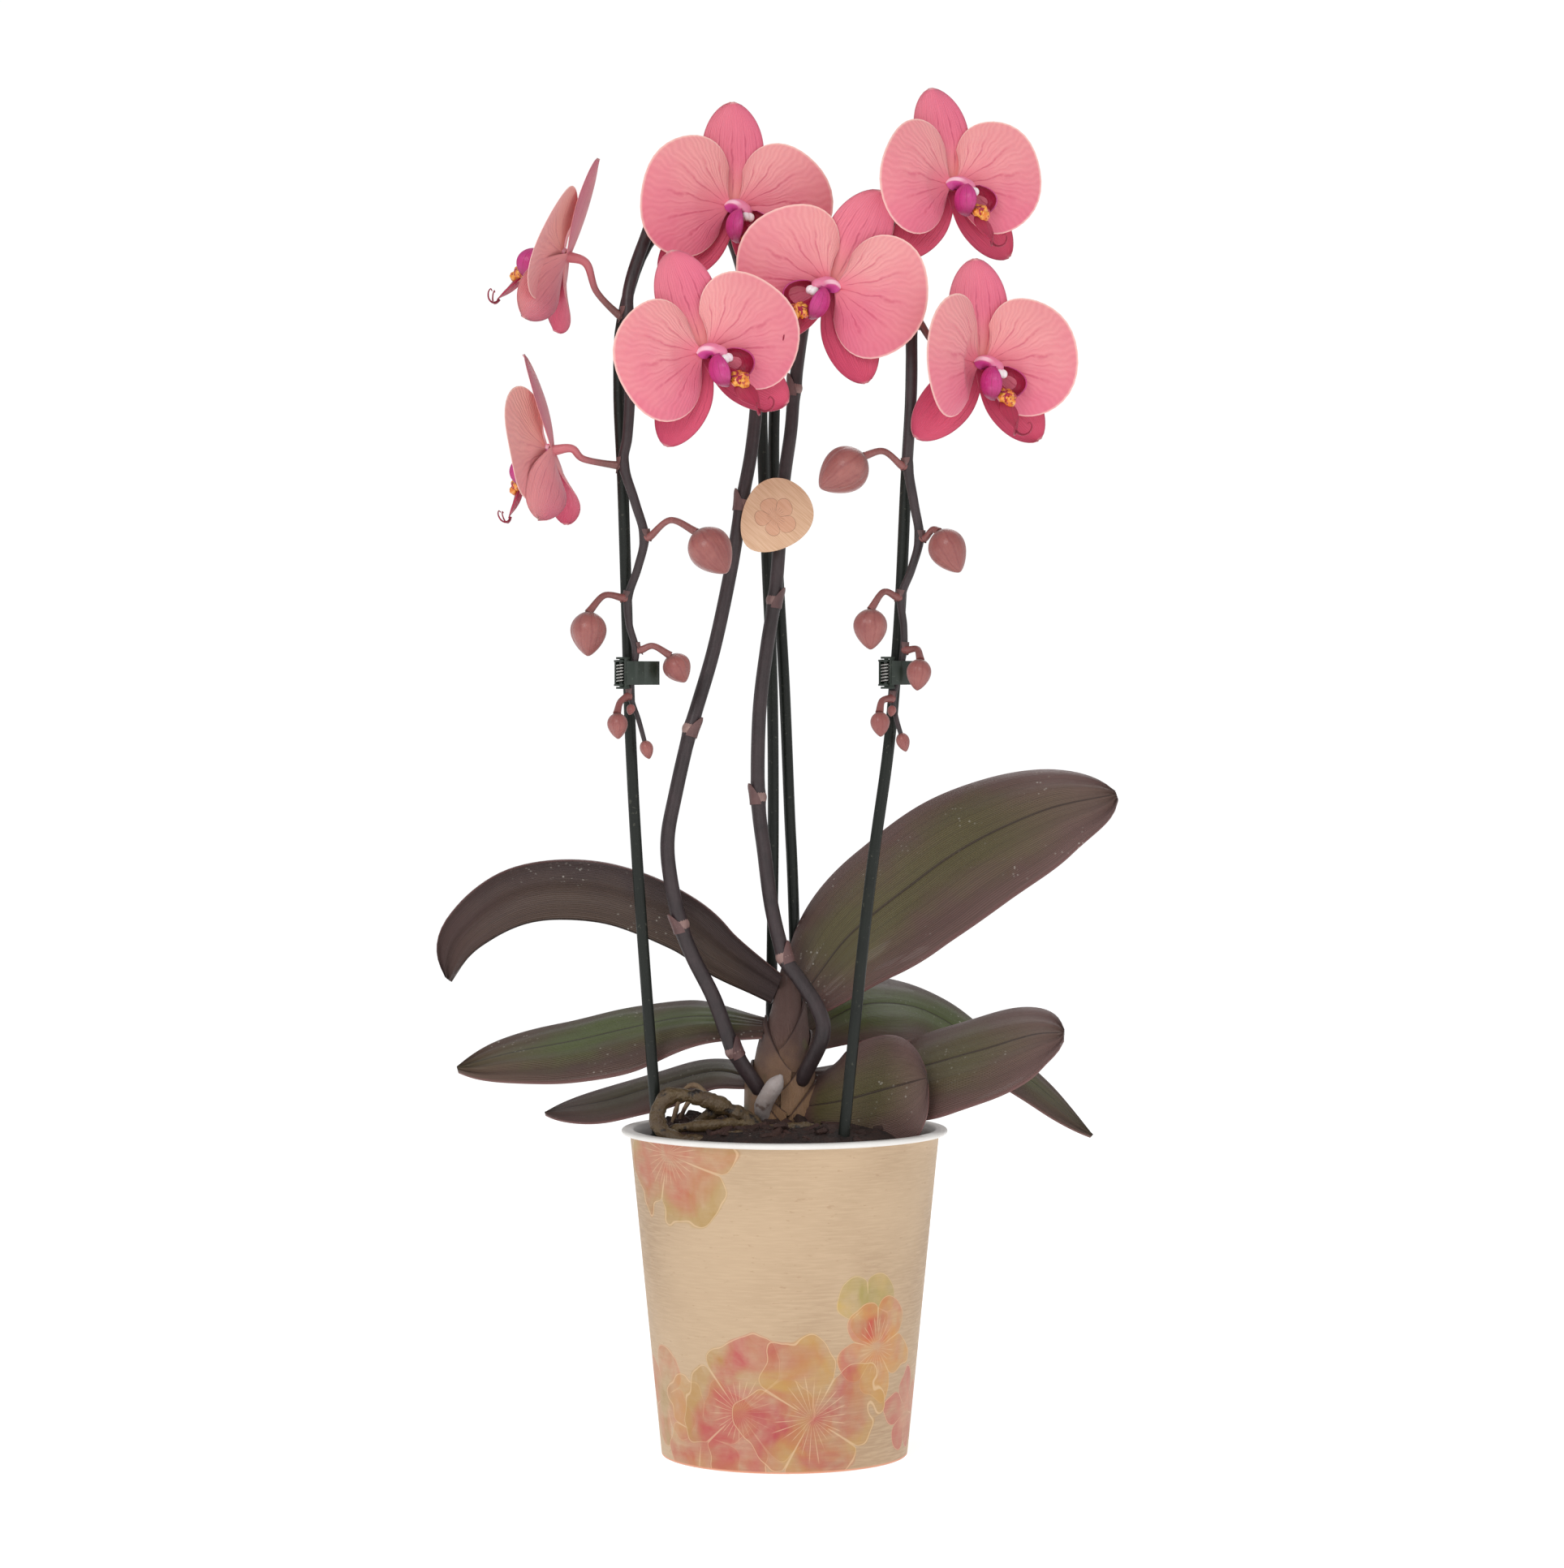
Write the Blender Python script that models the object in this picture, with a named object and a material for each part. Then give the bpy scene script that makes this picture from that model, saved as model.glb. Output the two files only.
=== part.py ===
"""A potted moth orchid: two arched flower spikes on wire hoops, in a tapered pot.

Metres, +Z up. The origin is the middle of the pot's underside. The flowers face -Y.
Lists of route points are in millimetres and pass through planted(), so they follow the bark.
"""

import math
from collections import namedtuple

import bmesh
import bpy
from mathutils import Matrix, Vector, noise

MM = 0.001
GAP = 0.3 * MM  # what stays open between two pieces that touch

# Pot and bark
POT_HEIGHT = 0.130
POT_TOP_DIAMETER = 0.1235
RIM_OVERHANG = 0.00325
RIM_THICKNESS = 0.002
POT_FOOT_DIAMETER = 0.098
POT_WALL = 0.0016
POT_FLOOR = 0.003
POT_SEGMENTS = 44
BARK_BELOW_RIM = 0.010
BARK_IN_LISTS = 0.120  # the height of the bark that the lists of route points go with
BARK_LUMP = 0.0012
BARK_LEVEL_RADIUS = 0.019  # the level patch that the crown stands on
LEG_DEPTH = 0.080  # how far a hoop's leg goes into the bark

# Stems
HOOP_DIAMETER = 0.0045
SPIKE_FOOT_DIAMETER = 0.0062
SPIKE_ARCH_DIAMETER = 0.0046
SPIKE_TIP_DIAMETER = 0.0018
TIP_BUD_DIAMETER = 0.0052
STALK_DIAMETER = 0.0024
STALK_CLEARANCE = 0.0007
SPIKE_BASE_CLEARANCE = 0.0030
HOOP_POINTS = 34

# Leaves
LEAF_THICKNESS = 0.0018
LEAF_MARGIN_THICKNESS = 0.0009

# Flowers
PETAL_REACH = 0.0375
DORSAL_REACH = 0.0405
DORSAL_WIDTH = 0.0240
LATERAL_REACH = 0.0385
LATERAL_WIDTH = 0.0205
BLADE_THICKNESS = 0.0008
HUB_RADIUS = 0.0034
HUB_THICKNESS = 0.0018
SEPAL_SETBACK = HUB_THICKNESS + GAP
SEPAL_LAP = 0.00015  # each lateral sepal lies this far behind or before the middle
COLUMN_LENGTH = 0.0100
LIP_STANDOFF = 0.0012
LOBE_REACH = 0.0075
LOBE_LENGTH = 0.0125
LOBE_HEIGHT = 0.0145
LOBE_FOOT = -0.0130
MID_LOBE_LENGTH = 0.0095

# Clips
COIL_TURNS = 6
COIL_HEIGHT = 0.0080
COIL_RADIUS = 0.0018
WIRE_DIAMETER = 0.0007
PIN_RADIUS = 0.0009
LUG_RADIUS = 0.0023
LUG_THICKNESS = 0.0008
JAW_THICKNESS = 0.0011
JAW_HEIGHT = 0.0092

# Tag
TAG_LENGTH = 0.0315
TAG_WIDTH = 0.0265
TAG_THICKNESS = 0.0008

BARK_TOP = POT_HEIGHT - BARK_BELOW_RIM


def mm(*numbers):
    return Vector(numbers) * MM


def planted(*numbers):
    """A point of the plant, given in millimetres, which rises and sinks with the bark."""
    return Vector(numbers) * MM + Vector((0, 0, BARK_TOP - BARK_IN_LISTS))


# ---------------------------------------------------------------- meshes


def add_object(name, mesh, material):
    mesh.materials.clear()
    mesh.materials.append(material)
    mesh.shade_smooth()
    mesh.set_sharp_from_angle(angle=math.radians(40))
    obj = bpy.data.objects.new(name, mesh)
    bpy.context.scene.collection.objects.link(obj)
    return obj


def closed_mesh(points, faces):
    """A mesh of the points and faces, with its faces turned outward."""
    mesh = bpy.data.meshes.new("shell")
    mesh.from_pydata([tuple(point) for point in points], [], faces)
    shell = bmesh.new()
    shell.from_mesh(mesh)
    bmesh.ops.recalc_face_normals(shell, faces=shell.faces)
    if shell.calc_volume(signed=True) < 0:
        bmesh.ops.reverse_faces(shell, faces=shell.faces)
    shell.to_mesh(mesh)
    shell.free()
    return mesh


def combined(mesh, tools, operation):
    """The mesh with each tool mesh joined to it (UNION) or cut from it (DIFFERENCE)."""
    base = bpy.data.objects.new("base", mesh)
    bpy.context.scene.collection.objects.link(base)
    helpers = [base]
    for tool in tools:
        helper = bpy.data.objects.new("tool", tool)
        bpy.context.scene.collection.objects.link(helper)
        helpers.append(helper)
        step = base.modifiers.new("combine", "BOOLEAN")
        step.operation = operation
        step.object = helper
    graph = bpy.context.evaluated_depsgraph_get()
    result = bpy.data.meshes.new_from_object(base.evaluated_get(graph))
    for helper in helpers:
        bpy.data.objects.remove(helper)
    return result


def placed(mesh, matrix):
    mesh.transform(matrix)
    return mesh


def curve_points(points, steps):
    """A Catmull-Rom curve through the points, with each span cut into steps."""
    padded = [2 * points[0] - points[1], *points, 2 * points[-1] - points[-2]]
    fine = []
    for a, b, c, d in zip(padded, padded[1:], padded[2:], padded[3:]):
        for step in range(steps):
            t = step / steps
            fine.append(
                0.5
                * (
                    2 * b
                    + (c - a) * t
                    + (2 * a - 5 * b + 4 * c - d) * t * t
                    + (3 * b - a - 3 * c + d) * t**3
                )
            )
    fine.append(points[-1].copy())
    return fine


def smooth_route(points, count):
    """Count points, evenly spaced, on the curve through the points."""
    fine = curve_points(points, 12)
    reach = [0.0]
    for here, there in zip(fine, fine[1:]):
        reach.append(reach[-1] + (there - here).length)
    route = []
    index = 0
    for number in range(count):
        wanted = reach[-1] * number / (count - 1)
        while index < len(fine) - 2 and reach[index + 1] < wanted:
            index += 1
        span = max(reach[index + 1] - reach[index], 1e-9)
        route.append(fine[index].lerp(fine[index + 1], (wanted - reach[index]) / span))
    return route


def route_frames(route):
    """For each point of the route: its tangent and two directions across, without twist."""
    tangents = []
    for index in range(len(route)):
        before = route[max(index - 1, 0)]
        after = route[min(index + 1, len(route) - 1)]
        tangents.append((after - before).normalized())
    side = tangents[0].orthogonal().normalized()
    frames = []
    for tangent in tangents:
        side = (side - tangent * side.dot(tangent)).normalized()
        frames.append((tangent, side, tangent.cross(side)))
    return frames


def loft(rings, caps=True):
    """A skin over rings of equal count. With caps, the first and last rings are filled."""
    count = len(rings[0])
    points = [point for ring in rings for point in ring]
    faces = []
    for row in range(len(rings) - 1):
        for index in range(count):
            after = (index + 1) % count
            faces.append(
                (
                    row * count + index,
                    row * count + after,
                    (row + 1) * count + after,
                    (row + 1) * count + index,
                )
            )
    if caps:
        faces.append(tuple(range(count)))
        faces.append(tuple(range((len(rings) - 1) * count, len(rings) * count)))
    return points, faces


def tube(route, radii, sides=8):
    """A closed round bar along the route, with one radius for each point."""
    rings = []
    for point, radius, (_, across, up) in zip(route, radii, route_frames(route)):
        turns = [2 * math.pi * number / sides for number in range(sides)]
        rings.append(
            [point + radius * (math.cos(a) * across + math.sin(a) * up) for a in turns]
        )
    return closed_mesh(*loft(rings))


def turned(profile, segments):
    """A solid turned about Z. The profile of (radius, height) starts and ends on the axis."""
    points = [Vector((0, 0, profile[0][1])), Vector((0, 0, profile[-1][1]))]
    faces = []
    inner = profile[1:-1]
    for radius, height in inner:
        for number in range(segments):
            angle = 2 * math.pi * number / segments
            points.append(Vector((radius * math.cos(angle), radius * math.sin(angle), height)))
    for number in range(segments):
        after = (number + 1) % segments
        faces.append((0, 2 + after, 2 + number))
        last = 2 + (len(inner) - 1) * segments
        faces.append((1, last + number, last + after))
        for row in range(len(inner) - 1):
            low = 2 + row * segments
            faces.append((low + number, low + after, low + segments + after, low + segments + number))
    return closed_mesh(points, faces)


def sheet(front, back):
    """A closed thin solid between two grids of points, given as rows of equal length."""
    rows = len(front)
    columns = len(front[0])
    points = [point for row in front for point in row] + [point for row in back for point in row]
    far = rows * columns
    faces = []
    for row in range(rows - 1):
        for column in range(columns - 1):
            a = row * columns + column
            quad = (a, a + 1, a + columns + 1, a + columns)
            faces.append(quad)
            faces.append(tuple(far + index for index in reversed(quad)))
    border = [*range(columns)]
    border += [row * columns + columns - 1 for row in range(1, rows)]
    border += [(rows - 1) * columns + column for column in range(columns - 2, -1, -1)]
    border += [row * columns for row in range(rows - 2, 0, -1)]
    for here, there in zip(border, border[1:] + border[:1]):
        faces.append((here, there, far + there, far + here))
    return closed_mesh(points, faces)


def bar(outline, low, high):
    """A plate with the outline in X and Y, from the height low to the height high."""
    rings = [[Vector((x, y, z)) for x, y in outline] for z in (low, high)]
    return closed_mesh(*loft(rings))


def disc(radius, low, high, sides=9):
    turns = [2 * math.pi * number / sides for number in range(sides)]
    return bar([(radius * math.cos(a), radius * math.sin(a)) for a in turns], low, high)


# ---------------------------------------------------------------- pot and bark


def pot_inner_radius(height):
    """The radius of the pot's inner wall at a height above its underside."""
    foot = POT_FOOT_DIAMETER / 2 - POT_WALL
    top = POT_TOP_DIAMETER / 2 - POT_WALL
    return foot + (top - foot) * height / POT_HEIGHT


def make_pot():
    foot = POT_FOOT_DIAMETER / 2
    top = POT_TOP_DIAMETER / 2
    rim = top + RIM_OVERHANG
    under = POT_HEIGHT - RIM_THICKNESS
    profile = [
        (0, 0),
        (foot, 0),
        (foot + (top - foot) * under / POT_HEIGHT, under),
        (rim - 0.0004, under),
        (rim, POT_HEIGHT - RIM_THICKNESS / 2),
        (rim - 0.0004, POT_HEIGHT),
        (pot_inner_radius(POT_HEIGHT), POT_HEIGHT),
        (pot_inner_radius(POT_FLOOR), POT_FLOOR),
        (0, POT_FLOOR),
    ]
    add_object("pot", turned(profile, POT_SEGMENTS), POT_WHITE)


def bark_height(x, y, radius):
    """Bark surface at a point: lumpy, but level in the middle and at the wall."""
    away = math.hypot(x, y)
    rise = min(1, max(0, (away - BARK_LEVEL_RADIUS) / 0.008))
    fall = min(1, max(0, (radius - away) / 0.006))
    return BARK_TOP + BARK_LUMP * rise * fall * noise.noise(Vector((x, y, 0.3)) * 110)


def make_bark(hoops):
    radius = pot_inner_radius(BARK_TOP) - GAP
    foot = pot_inner_radius(POT_FLOOR + GAP) - GAP
    segments = 20
    steps = [1, 0.9, 0.72, 0.52, 0.32]
    rings = []
    for share, level in [(foot / radius, POT_FLOOR + GAP)] + [(step, None) for step in steps]:
        ring = []
        for number in range(segments):
            angle = 2 * math.pi * number / segments
            x = radius * share * math.cos(angle)
            y = radius * share * math.sin(angle)
            ring.append(Vector((x, y, level if level else bark_height(x, y, radius))))
        rings.append(ring)
    sockets = [
        tube(route, [HOOP_DIAMETER / 2 + GAP] * len(route)) for route in leg_sockets(hoops)
    ]
    bark = combined(closed_mesh(*loft(rings)), sockets, "DIFFERENCE")
    add_object("bark_mix", bark, BARK)


# ---------------------------------------------------------------- crown and roots

CROWN_SECTIONS = [  # height above the bark, half width in X, half depth in Y, shift in X
    (0.0003, 0.0120, 0.0100, -0.0005),
    (0.0140, 0.0130, 0.0105, -0.0010),
    (0.0270, 0.0122, 0.0100, -0.0010),
    (0.0420, 0.0098, 0.0085, 0.0000),
    (0.0570, 0.0066, 0.0062, 0.0012),
    (0.0690, 0.0040, 0.0042, 0.0014),
    (0.0780, 0.0014, 0.0014, 0.0012),
]
ROOT_TIP = [(-3, -7, 132), (-5, -12, 137), (-4.5, -15, 146), (-3, -16, 152)]
THICK_ROOT = [
    (3, -26, 122.8), (-10, -31, 125.2), (-24, -35, 126.5), (-37, -34, 128), (-46, -31, 130),
    (-50, -27, 137), (-46, -25.5, 144.5), (-37, -25, 145), (-25, -23, 141), (-14, -21, 134),
    (-6, -20, 123.5),
]
DRY_LOOP = [
    (-45, -5, 121.0), (-44, -4, 134), (-40, -3, 145), (-35, -3, 147), (-29, -4, 141),
    (-25, -5, 131), (-24, -6, 121.0),
]


def crown_section(height):
    """Half width, half depth and shift of the crown at a height above the bark."""
    for low, high in zip(CROWN_SECTIONS, CROWN_SECTIONS[1:]):
        if height <= high[0]:
            share = (height - low[0]) / (high[0] - low[0])
            return [a + (b - a) * share for a, b in zip(low[1:], high[1:])]
    return CROWN_SECTIONS[-1][1:]


def crown_side(height, degrees, clearance):
    """A point beside the crown. 0 degrees is +X, and the clearance is measured outward."""
    wide, deep, shift = crown_section(height)
    angle = math.radians(degrees)
    reach = 1 / math.hypot(math.cos(angle) / wide, math.sin(angle) / deep) + clearance
    return Vector((shift + reach * math.cos(angle), reach * math.sin(angle), BARK_TOP + height))


def make_crown():
    rings = []
    for height, wide, deep, shift in CROWN_SECTIONS:
        turns = [2 * math.pi * number / 14 for number in range(14)]
        rings.append(
            [Vector((shift + wide * math.cos(a), deep * math.sin(a), BARK_TOP + height)) for a in turns]
        )
    root_tip = tube(
        smooth_route([planted(*point) for point in ROOT_TIP], 7),
        [0.0024, 0.0027, 0.0028, 0.0028, 0.0026, 0.0020, 0.0009],
    )
    crown = combined(closed_mesh(*loft(rings)), [root_tip], "UNION")
    add_object("crown", crown, SHEATH)


def make_roots():
    count = 25
    radii = [0.0032 + 0.0003 * math.sin(2.1 * index) for index in range(count)]
    radii[0] = radii[-1] = 0.0018
    thick = smooth_route([planted(*point) for point in THICK_ROOT], count)
    add_object("root_thick", tube(thick, radii, 7), ROOT)
    thin = smooth_route([planted(*point) for point in DRY_LOOP], 13)
    add_object("root_dry", tube(thin, [0.0011] * 13, 5), DRY_ROOT)


# ---------------------------------------------------------------- leaves

# Height and azimuth: where the leaf leaves the crown, with its clearance there. Route: points
# along the midrib, in mm. Roll turns the blade about its midrib, near side down, at the base and
# at the tip. Fold raises both halves into a trough. Neck and full: the width at the base as a
# share of the whole width, and how far along the blade is widest.
Leaf = namedtuple("Leaf", "name height azimuth clearance route width roll fold neck full")
LEAVES = [
    Leaf("leaf_left_upper", 0.060, 176, 1.2, [(-28, 3, 191), (-46, 5, 202), (-74, 8, 212),
         (-101, 9, 212), (-122, 9, 202), (-134, 9, 188)], 0.062, (-20, -24), 46, 0.55, 0.45),
    Leaf("leaf_left_middle", 0.051, 172, 1.0, [(-34, 4, 174), (-60, 9, 169), (-86, 10, 163),
         (-112, 9, 158), (-131, 7, 153)], 0.050, (22, 32), 4, 0.36, 0.50),
    Leaf("leaf_left_lower", 0.029, 160, 1.0, [(-28, 12, 151), (-51, 19, 144.5), (-73, 24, 138),
         (-97, 28, 133)], 0.034, (22, 30), 8, 0.40, 0.45),
    Leaf("leaf_right_upper", 0.062, 12, 2.4, [(26, 6, 206), (51, 11, 226), (76, 16, 243),
         (106, 20, 256), (134, 23, 262)], 0.063, (42, 52), 10, 0.38, 0.36),
    Leaf("leaf_right_back", 0.047, 28, 0.9, [(30, 20, 177), (53, 37, 175), (77, 43, 162),
         (102, 46, 143), (126, 47, 122)], 0.038, (46, 30), 6, 0.44, 0.30),
    Leaf("leaf_right_front", 0.030, 8, 1.0, [(35, 1, 149), (54, -5, 154), (78, -13, 162),
         (98, -18, 168), (110, -21, 169)], 0.051, (35, 46), 4, 0.30, 0.52),
    Leaf("leaf_front_short", 0.019, -39, 2.0, [(22, -16, 142), (39, -21, 147), (56, -26, 152)],
         0.048, (66, 72), 4, 0.50, 0.62),
]


def leaf_half_width(leaf, share):
    """Half of the blade's width at a share of its length: a neck, a full part, a round tip."""
    if share < leaf.full:
        rise = math.sin(math.pi / 2 * share / leaf.full)
        return leaf.width / 2 * (leaf.neck + (1 - leaf.neck) * rise)
    return leaf.width / 2 * (1 - ((share - leaf.full) / (1 - leaf.full)) ** 2.6) ** 0.55


def leaf_sections(leaf, rows, columns):
    """Front and back grids of the leaf, with its upper face as the front."""
    base = crown_side(leaf.height, leaf.azimuth, leaf.clearance * MM)
    route = smooth_route([base] + [planted(*point) for point in leaf.route], rows)
    front = []
    back = []
    for row, point in enumerate(route):
        share = min(row / (rows - 1), 0.992)
        before = route[max(row - 1, 0)]
        after = route[min(row + 1, rows - 1)]
        along = (after - before).normalized()
        near = along.cross(Vector((0, 0, 1)))
        near = (near if near.y < 0 else -near).normalized()
        over = near.cross(along)
        over = over if over.z > 0 else -over
        roll = math.radians(leaf.roll[0] + (leaf.roll[1] - leaf.roll[0]) * share)
        fold = math.radians(leaf.fold)
        half = leaf_half_width(leaf, share)
        top = []
        under = []
        for column in range(columns):
            place = 2 * column / (columns - 1) - 1  # -1 at the near margin, 1 at the far one
            angle = fold - roll if place < 0 else fold + roll
            side = near if place < 0 else -near
            reach = half * abs(place)
            arch = math.radians(14) * abs(place)
            spot = point + reach * (math.cos(angle - arch) * side + math.sin(angle - arch) * over)
            normal = math.cos(angle) * over - math.sin(angle) * side
            if place == 0:
                normal = math.cos(roll) * over + math.sin(roll) * near
            thick = LEAF_THICKNESS + (LEAF_MARGIN_THICKNESS - LEAF_THICKNESS) * abs(place)
            top.append(spot + normal.normalized() * thick / 2)
            under.append(spot - normal.normalized() * thick / 2)
        front.append(top)
        back.append(under)
    return front, back


def make_leaves():
    for leaf in LEAVES:
        add_object(leaf.name, sheet(*leaf_sections(leaf, 11, 5)), LEAF)


# ---------------------------------------------------------------- hoops and spikes

# From the outer leg's foot, up, over and down to the inner leg's foot.
HOOP_LEFT = [
    (-50, -16, 128), (-56, -22, 210), (-60, -27, 279), (-61.5, -30, 330), (-63, -33, 384),
    (-64.5, -34, 422), (-63, -32, 450), (-53, -23, 480), (-35, -8, 494), (-17, 2, 482),
    (-9, 6, 450), (-9, 8, 411), (-7, 9, 356), (-5, 11, 308), (-4.5, 15, 256), (-5, 20, 200),
    (-6, 25, 128),
]
HOOP_RIGHT = [
    (23, -41, 129), (31, -43, 210), (40, -43.5, 279), (43, -43.5, 311), (45, -43.5, 340),
    (47, -43, 384), (49, -42, 422), (48, -39, 452), (39, -29, 477), (25, -12, 487),
    (8, 2, 479), (-1, 9, 457), (-4, 14, 418), (-4, 15, 379), (-2, 16, 340), (0, 17, 305),
    (2, 20, 256), (4, 24, 207), (6, 29, 129),
]
SPIKE_LEFT = [
    (-20, -13, 162), (-28, -16, 183), (-36, -18, 199), (-41, -19, 212), (-45, -20, 231),
    (-46, -20, 246), (-43, -19, 263), (-37, -17, 289), (-28, -14, 320), (-21, -11, 353),
    (-17, -9, 378), (-13, -7, 400), (-11, -6, 424), (-13, -7, 452), (-21, -11, 483),
    (-35, -18, 499), (-48, -27, 494), (-55, -33, 478), (-60, -38, 462), (-61, -39.5, 450),
    (-60, -41, 422), (-61, -40, 403), (-62.5, -40, 392), (-58, -39.5, 377), (-54.5, -39, 364),
    (-57, -38, 352), (-61, -36.5, 340), (-60.5, -36, 330), (-58, -35.2, 320),
    (-59.2, -34.7, 310), (-60, -34.3, 302), (-57, -34, 293), (-54.5, -34, 284),
]
SPIKE_RIGHT = [
    (15, -17, 168), (13, -16, 179), (6, -14, 190), (0, -13, 199), (-5, -11, 218), (-8, -9, 240),
    (-10.5, -6, 262), (-10, -6, 295), (-7, -6, 321), (-4, -6, 340), (-2.5, -6, 356),
    (-0.5, -6, 385), (2.5, -6, 407), (4, -6, 424), (8, -8, 452), (14, -12, 478),
    (26, -23, 491), (38, -36, 487), (46, -45, 474), (48.5, -49, 457), (49, -50, 436),
    (49, -50, 420), (48, -50, 402), (47.5, -50, 391), (50, -50, 376), (52, -50, 363),
    (49, -50, 351), (45, -50, 340), (46, -50, 329), (46, -49.2, 320), (44.2, -49.0, 310),
    (42, -48.6, 301), (43, -49, 294), (45, -49, 287),
]
SPIKE_LEFT_BASE = (0.026, 222)  # height on the crown, azimuth
SPIKE_RIGHT_BASE = (0.030, -48)
SPIKES = {
    "left": (SPIKE_LEFT, SPIKE_LEFT_BASE),
    "right": (SPIKE_RIGHT, SPIKE_RIGHT_BASE),
}


def hoop_route(points):
    """The hoop with both legs lengthened down into the bark."""
    points = [planted(*point) for point in points]
    for end, inward in ((0, 1), (-1, -2)):
        slope = (points[end] - points[inward]).normalized()
        points[end] = points[end] + slope * (points[end].z - BARK_TOP + LEG_DEPTH)
    return points


def make_hoop(name, points):
    route = smooth_route(hoop_route(points), HOOP_POINTS)
    add_object(name, tube(route, [HOOP_DIAMETER / 2] * HOOP_POINTS), HOOP_GREEN)


def leg_sockets(hoops):
    """For each hoop leg, the route of the hole that it stands in."""
    routes = []
    for points in hoops:
        route = smooth_route(hoop_route(points), HOOP_POINTS)
        for leg in (route, route[::-1]):
            foot = leg[0] + (leg[0] - leg[1]).normalized() * GAP
            above = [point for point in leg[: HOOP_POINTS // 2] if point.z > BARK_TOP + 0.005]
            below = [point for point in leg[1 : HOOP_POINTS // 2] if point.z <= BARK_TOP + 0.005]
            routes.append([foot, *below, above[0]])
    return routes


def spike_route(points, base):
    start = crown_side(base[0], base[1], SPIKE_BASE_CLEARANCE)
    return curve_points([start] + [planted(*point) for point in points], 2)


def spike_radius(share):
    """Radius of the spike at a share of its length: thick foot, slim arch, thin tip."""
    foot = SPIKE_FOOT_DIAMETER / 2
    arch = SPIKE_ARCH_DIAMETER / 2
    tip = SPIKE_TIP_DIAMETER / 2
    if share < 0.6:
        return foot + (arch - foot) * share / 0.6
    return arch + (tip - arch) * (share - 0.6) / 0.4


def make_spike(name, points, base):
    route = spike_route(points, base)
    radii = [spike_radius(index / (len(route) - 1)) for index in range(len(route))]
    bud = TIP_BUD_DIAMETER / 2
    tip = route[-1]
    along = (tip - route[-2]).normalized()
    for reach, swell in ((0.4, 0.75), (1.3, 1.0), (2.2, 0.75), (2.8, 0.25)):
        route.append(tip + along * bud * reach)
        radii.append(bud * swell)
    add_object(name, tube(route, radii, 6), SPIKE)


# ---------------------------------------------------------------- buds

# Node: the height on the spike where the stalk starts, counted on its hanging side.
Bud = namedtuple("Bud", "name spike node bend centre tip length width")
BUDS = [
    Bud("bud_left_1", "left", (-54.5, -39, 364), (-44, -47, 370), (-33, -52, 364), (-24, -54, 352), 20, 17),
    Bud("bud_left_2", "left", (-61, -36.5, 340), (-70, -42, 341), (-76, -46, 333), (-76, -47, 318), 17, 14),
    Bud("bud_left_3", "left", (-58, -35.2, 320), (-51, -36, 321.5), (-44, -36, 317), (-39, -35, 308), 12, 11),
    Bud("bud_left_4", "left", (-60, -34.5, 302), (-64, -38.5, 299.5), (-65, -42, 294.5), (-64.5, -42, 285), 10, 8),
    Bud("bud_right_1", "right", (47.5, -50, 391), (38, -57, 396), (29, -61, 393), (14, -63, 382), 21, 18),
    Bud("bud_right_2", "right", (52, -50, 363), (57, -54, 366), (60, -57, 364), (67, -60, 350), 18, 14.5),
    Bud("bud_right_3", "right", (45, -50, 340), (38, -56, 342), (33, -59, 334), (33, -60, 318), 15.5, 13),
    Bud("bud_right_4", "right", (46, -49.2, 320), (51, -56, 320), (52, -61, 315), (50.5, -62, 302), 12, 9.5),
    Bud("bud_right_5", "right", (42, -49, 301), (37.5, -54, 300), (36.5, -57, 295), (37, -58, 286), 9.5, 7.5),
]


def stalk_start(node, toward, spike):
    """The first two points of a stalk, square to the skin on the side that it goes to."""
    route = spike_route(*spike)
    nearest = min(range(len(route)), key=lambda index: (route[index] - node).length)
    tangent = route_frames(route)[nearest][0]
    out = toward - route[nearest]
    out = (out - tangent * out.dot(tangent)).normalized()
    radius = spike_radius(nearest / (len(route) - 1))
    start = route[nearest] + out * (radius + STALK_CLEARANCE)
    return [start, start + out * STALK_DIAMETER / 2]


def make_bud(bud):
    node = planted(*bud.node)
    bend = planted(*bud.bend)
    starts = stalk_start(node, bend, SPIKES[bud.spike])
    centre = planted(*bud.centre)
    axis = (planted(*bud.tip) - centre).normalized()
    length = bud.length * MM
    route = smooth_route([*starts, bend, centre - axis * length * 0.12], 5)
    radii = [STALK_DIAMETER / 2] * 5
    for share, swell in ((0.05, 0.60), (0.22, 0.94), (0.45, 1.0), (0.72, 0.72), (1.0, 0.12)):
        route.append(centre + axis * length * (share - 0.08))
        radii.append(bud.width * MM / 2 * swell)
    add_object(bud.name, tube(route, radii, 8), BUD)


# ---------------------------------------------------------------- flowers

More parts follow.
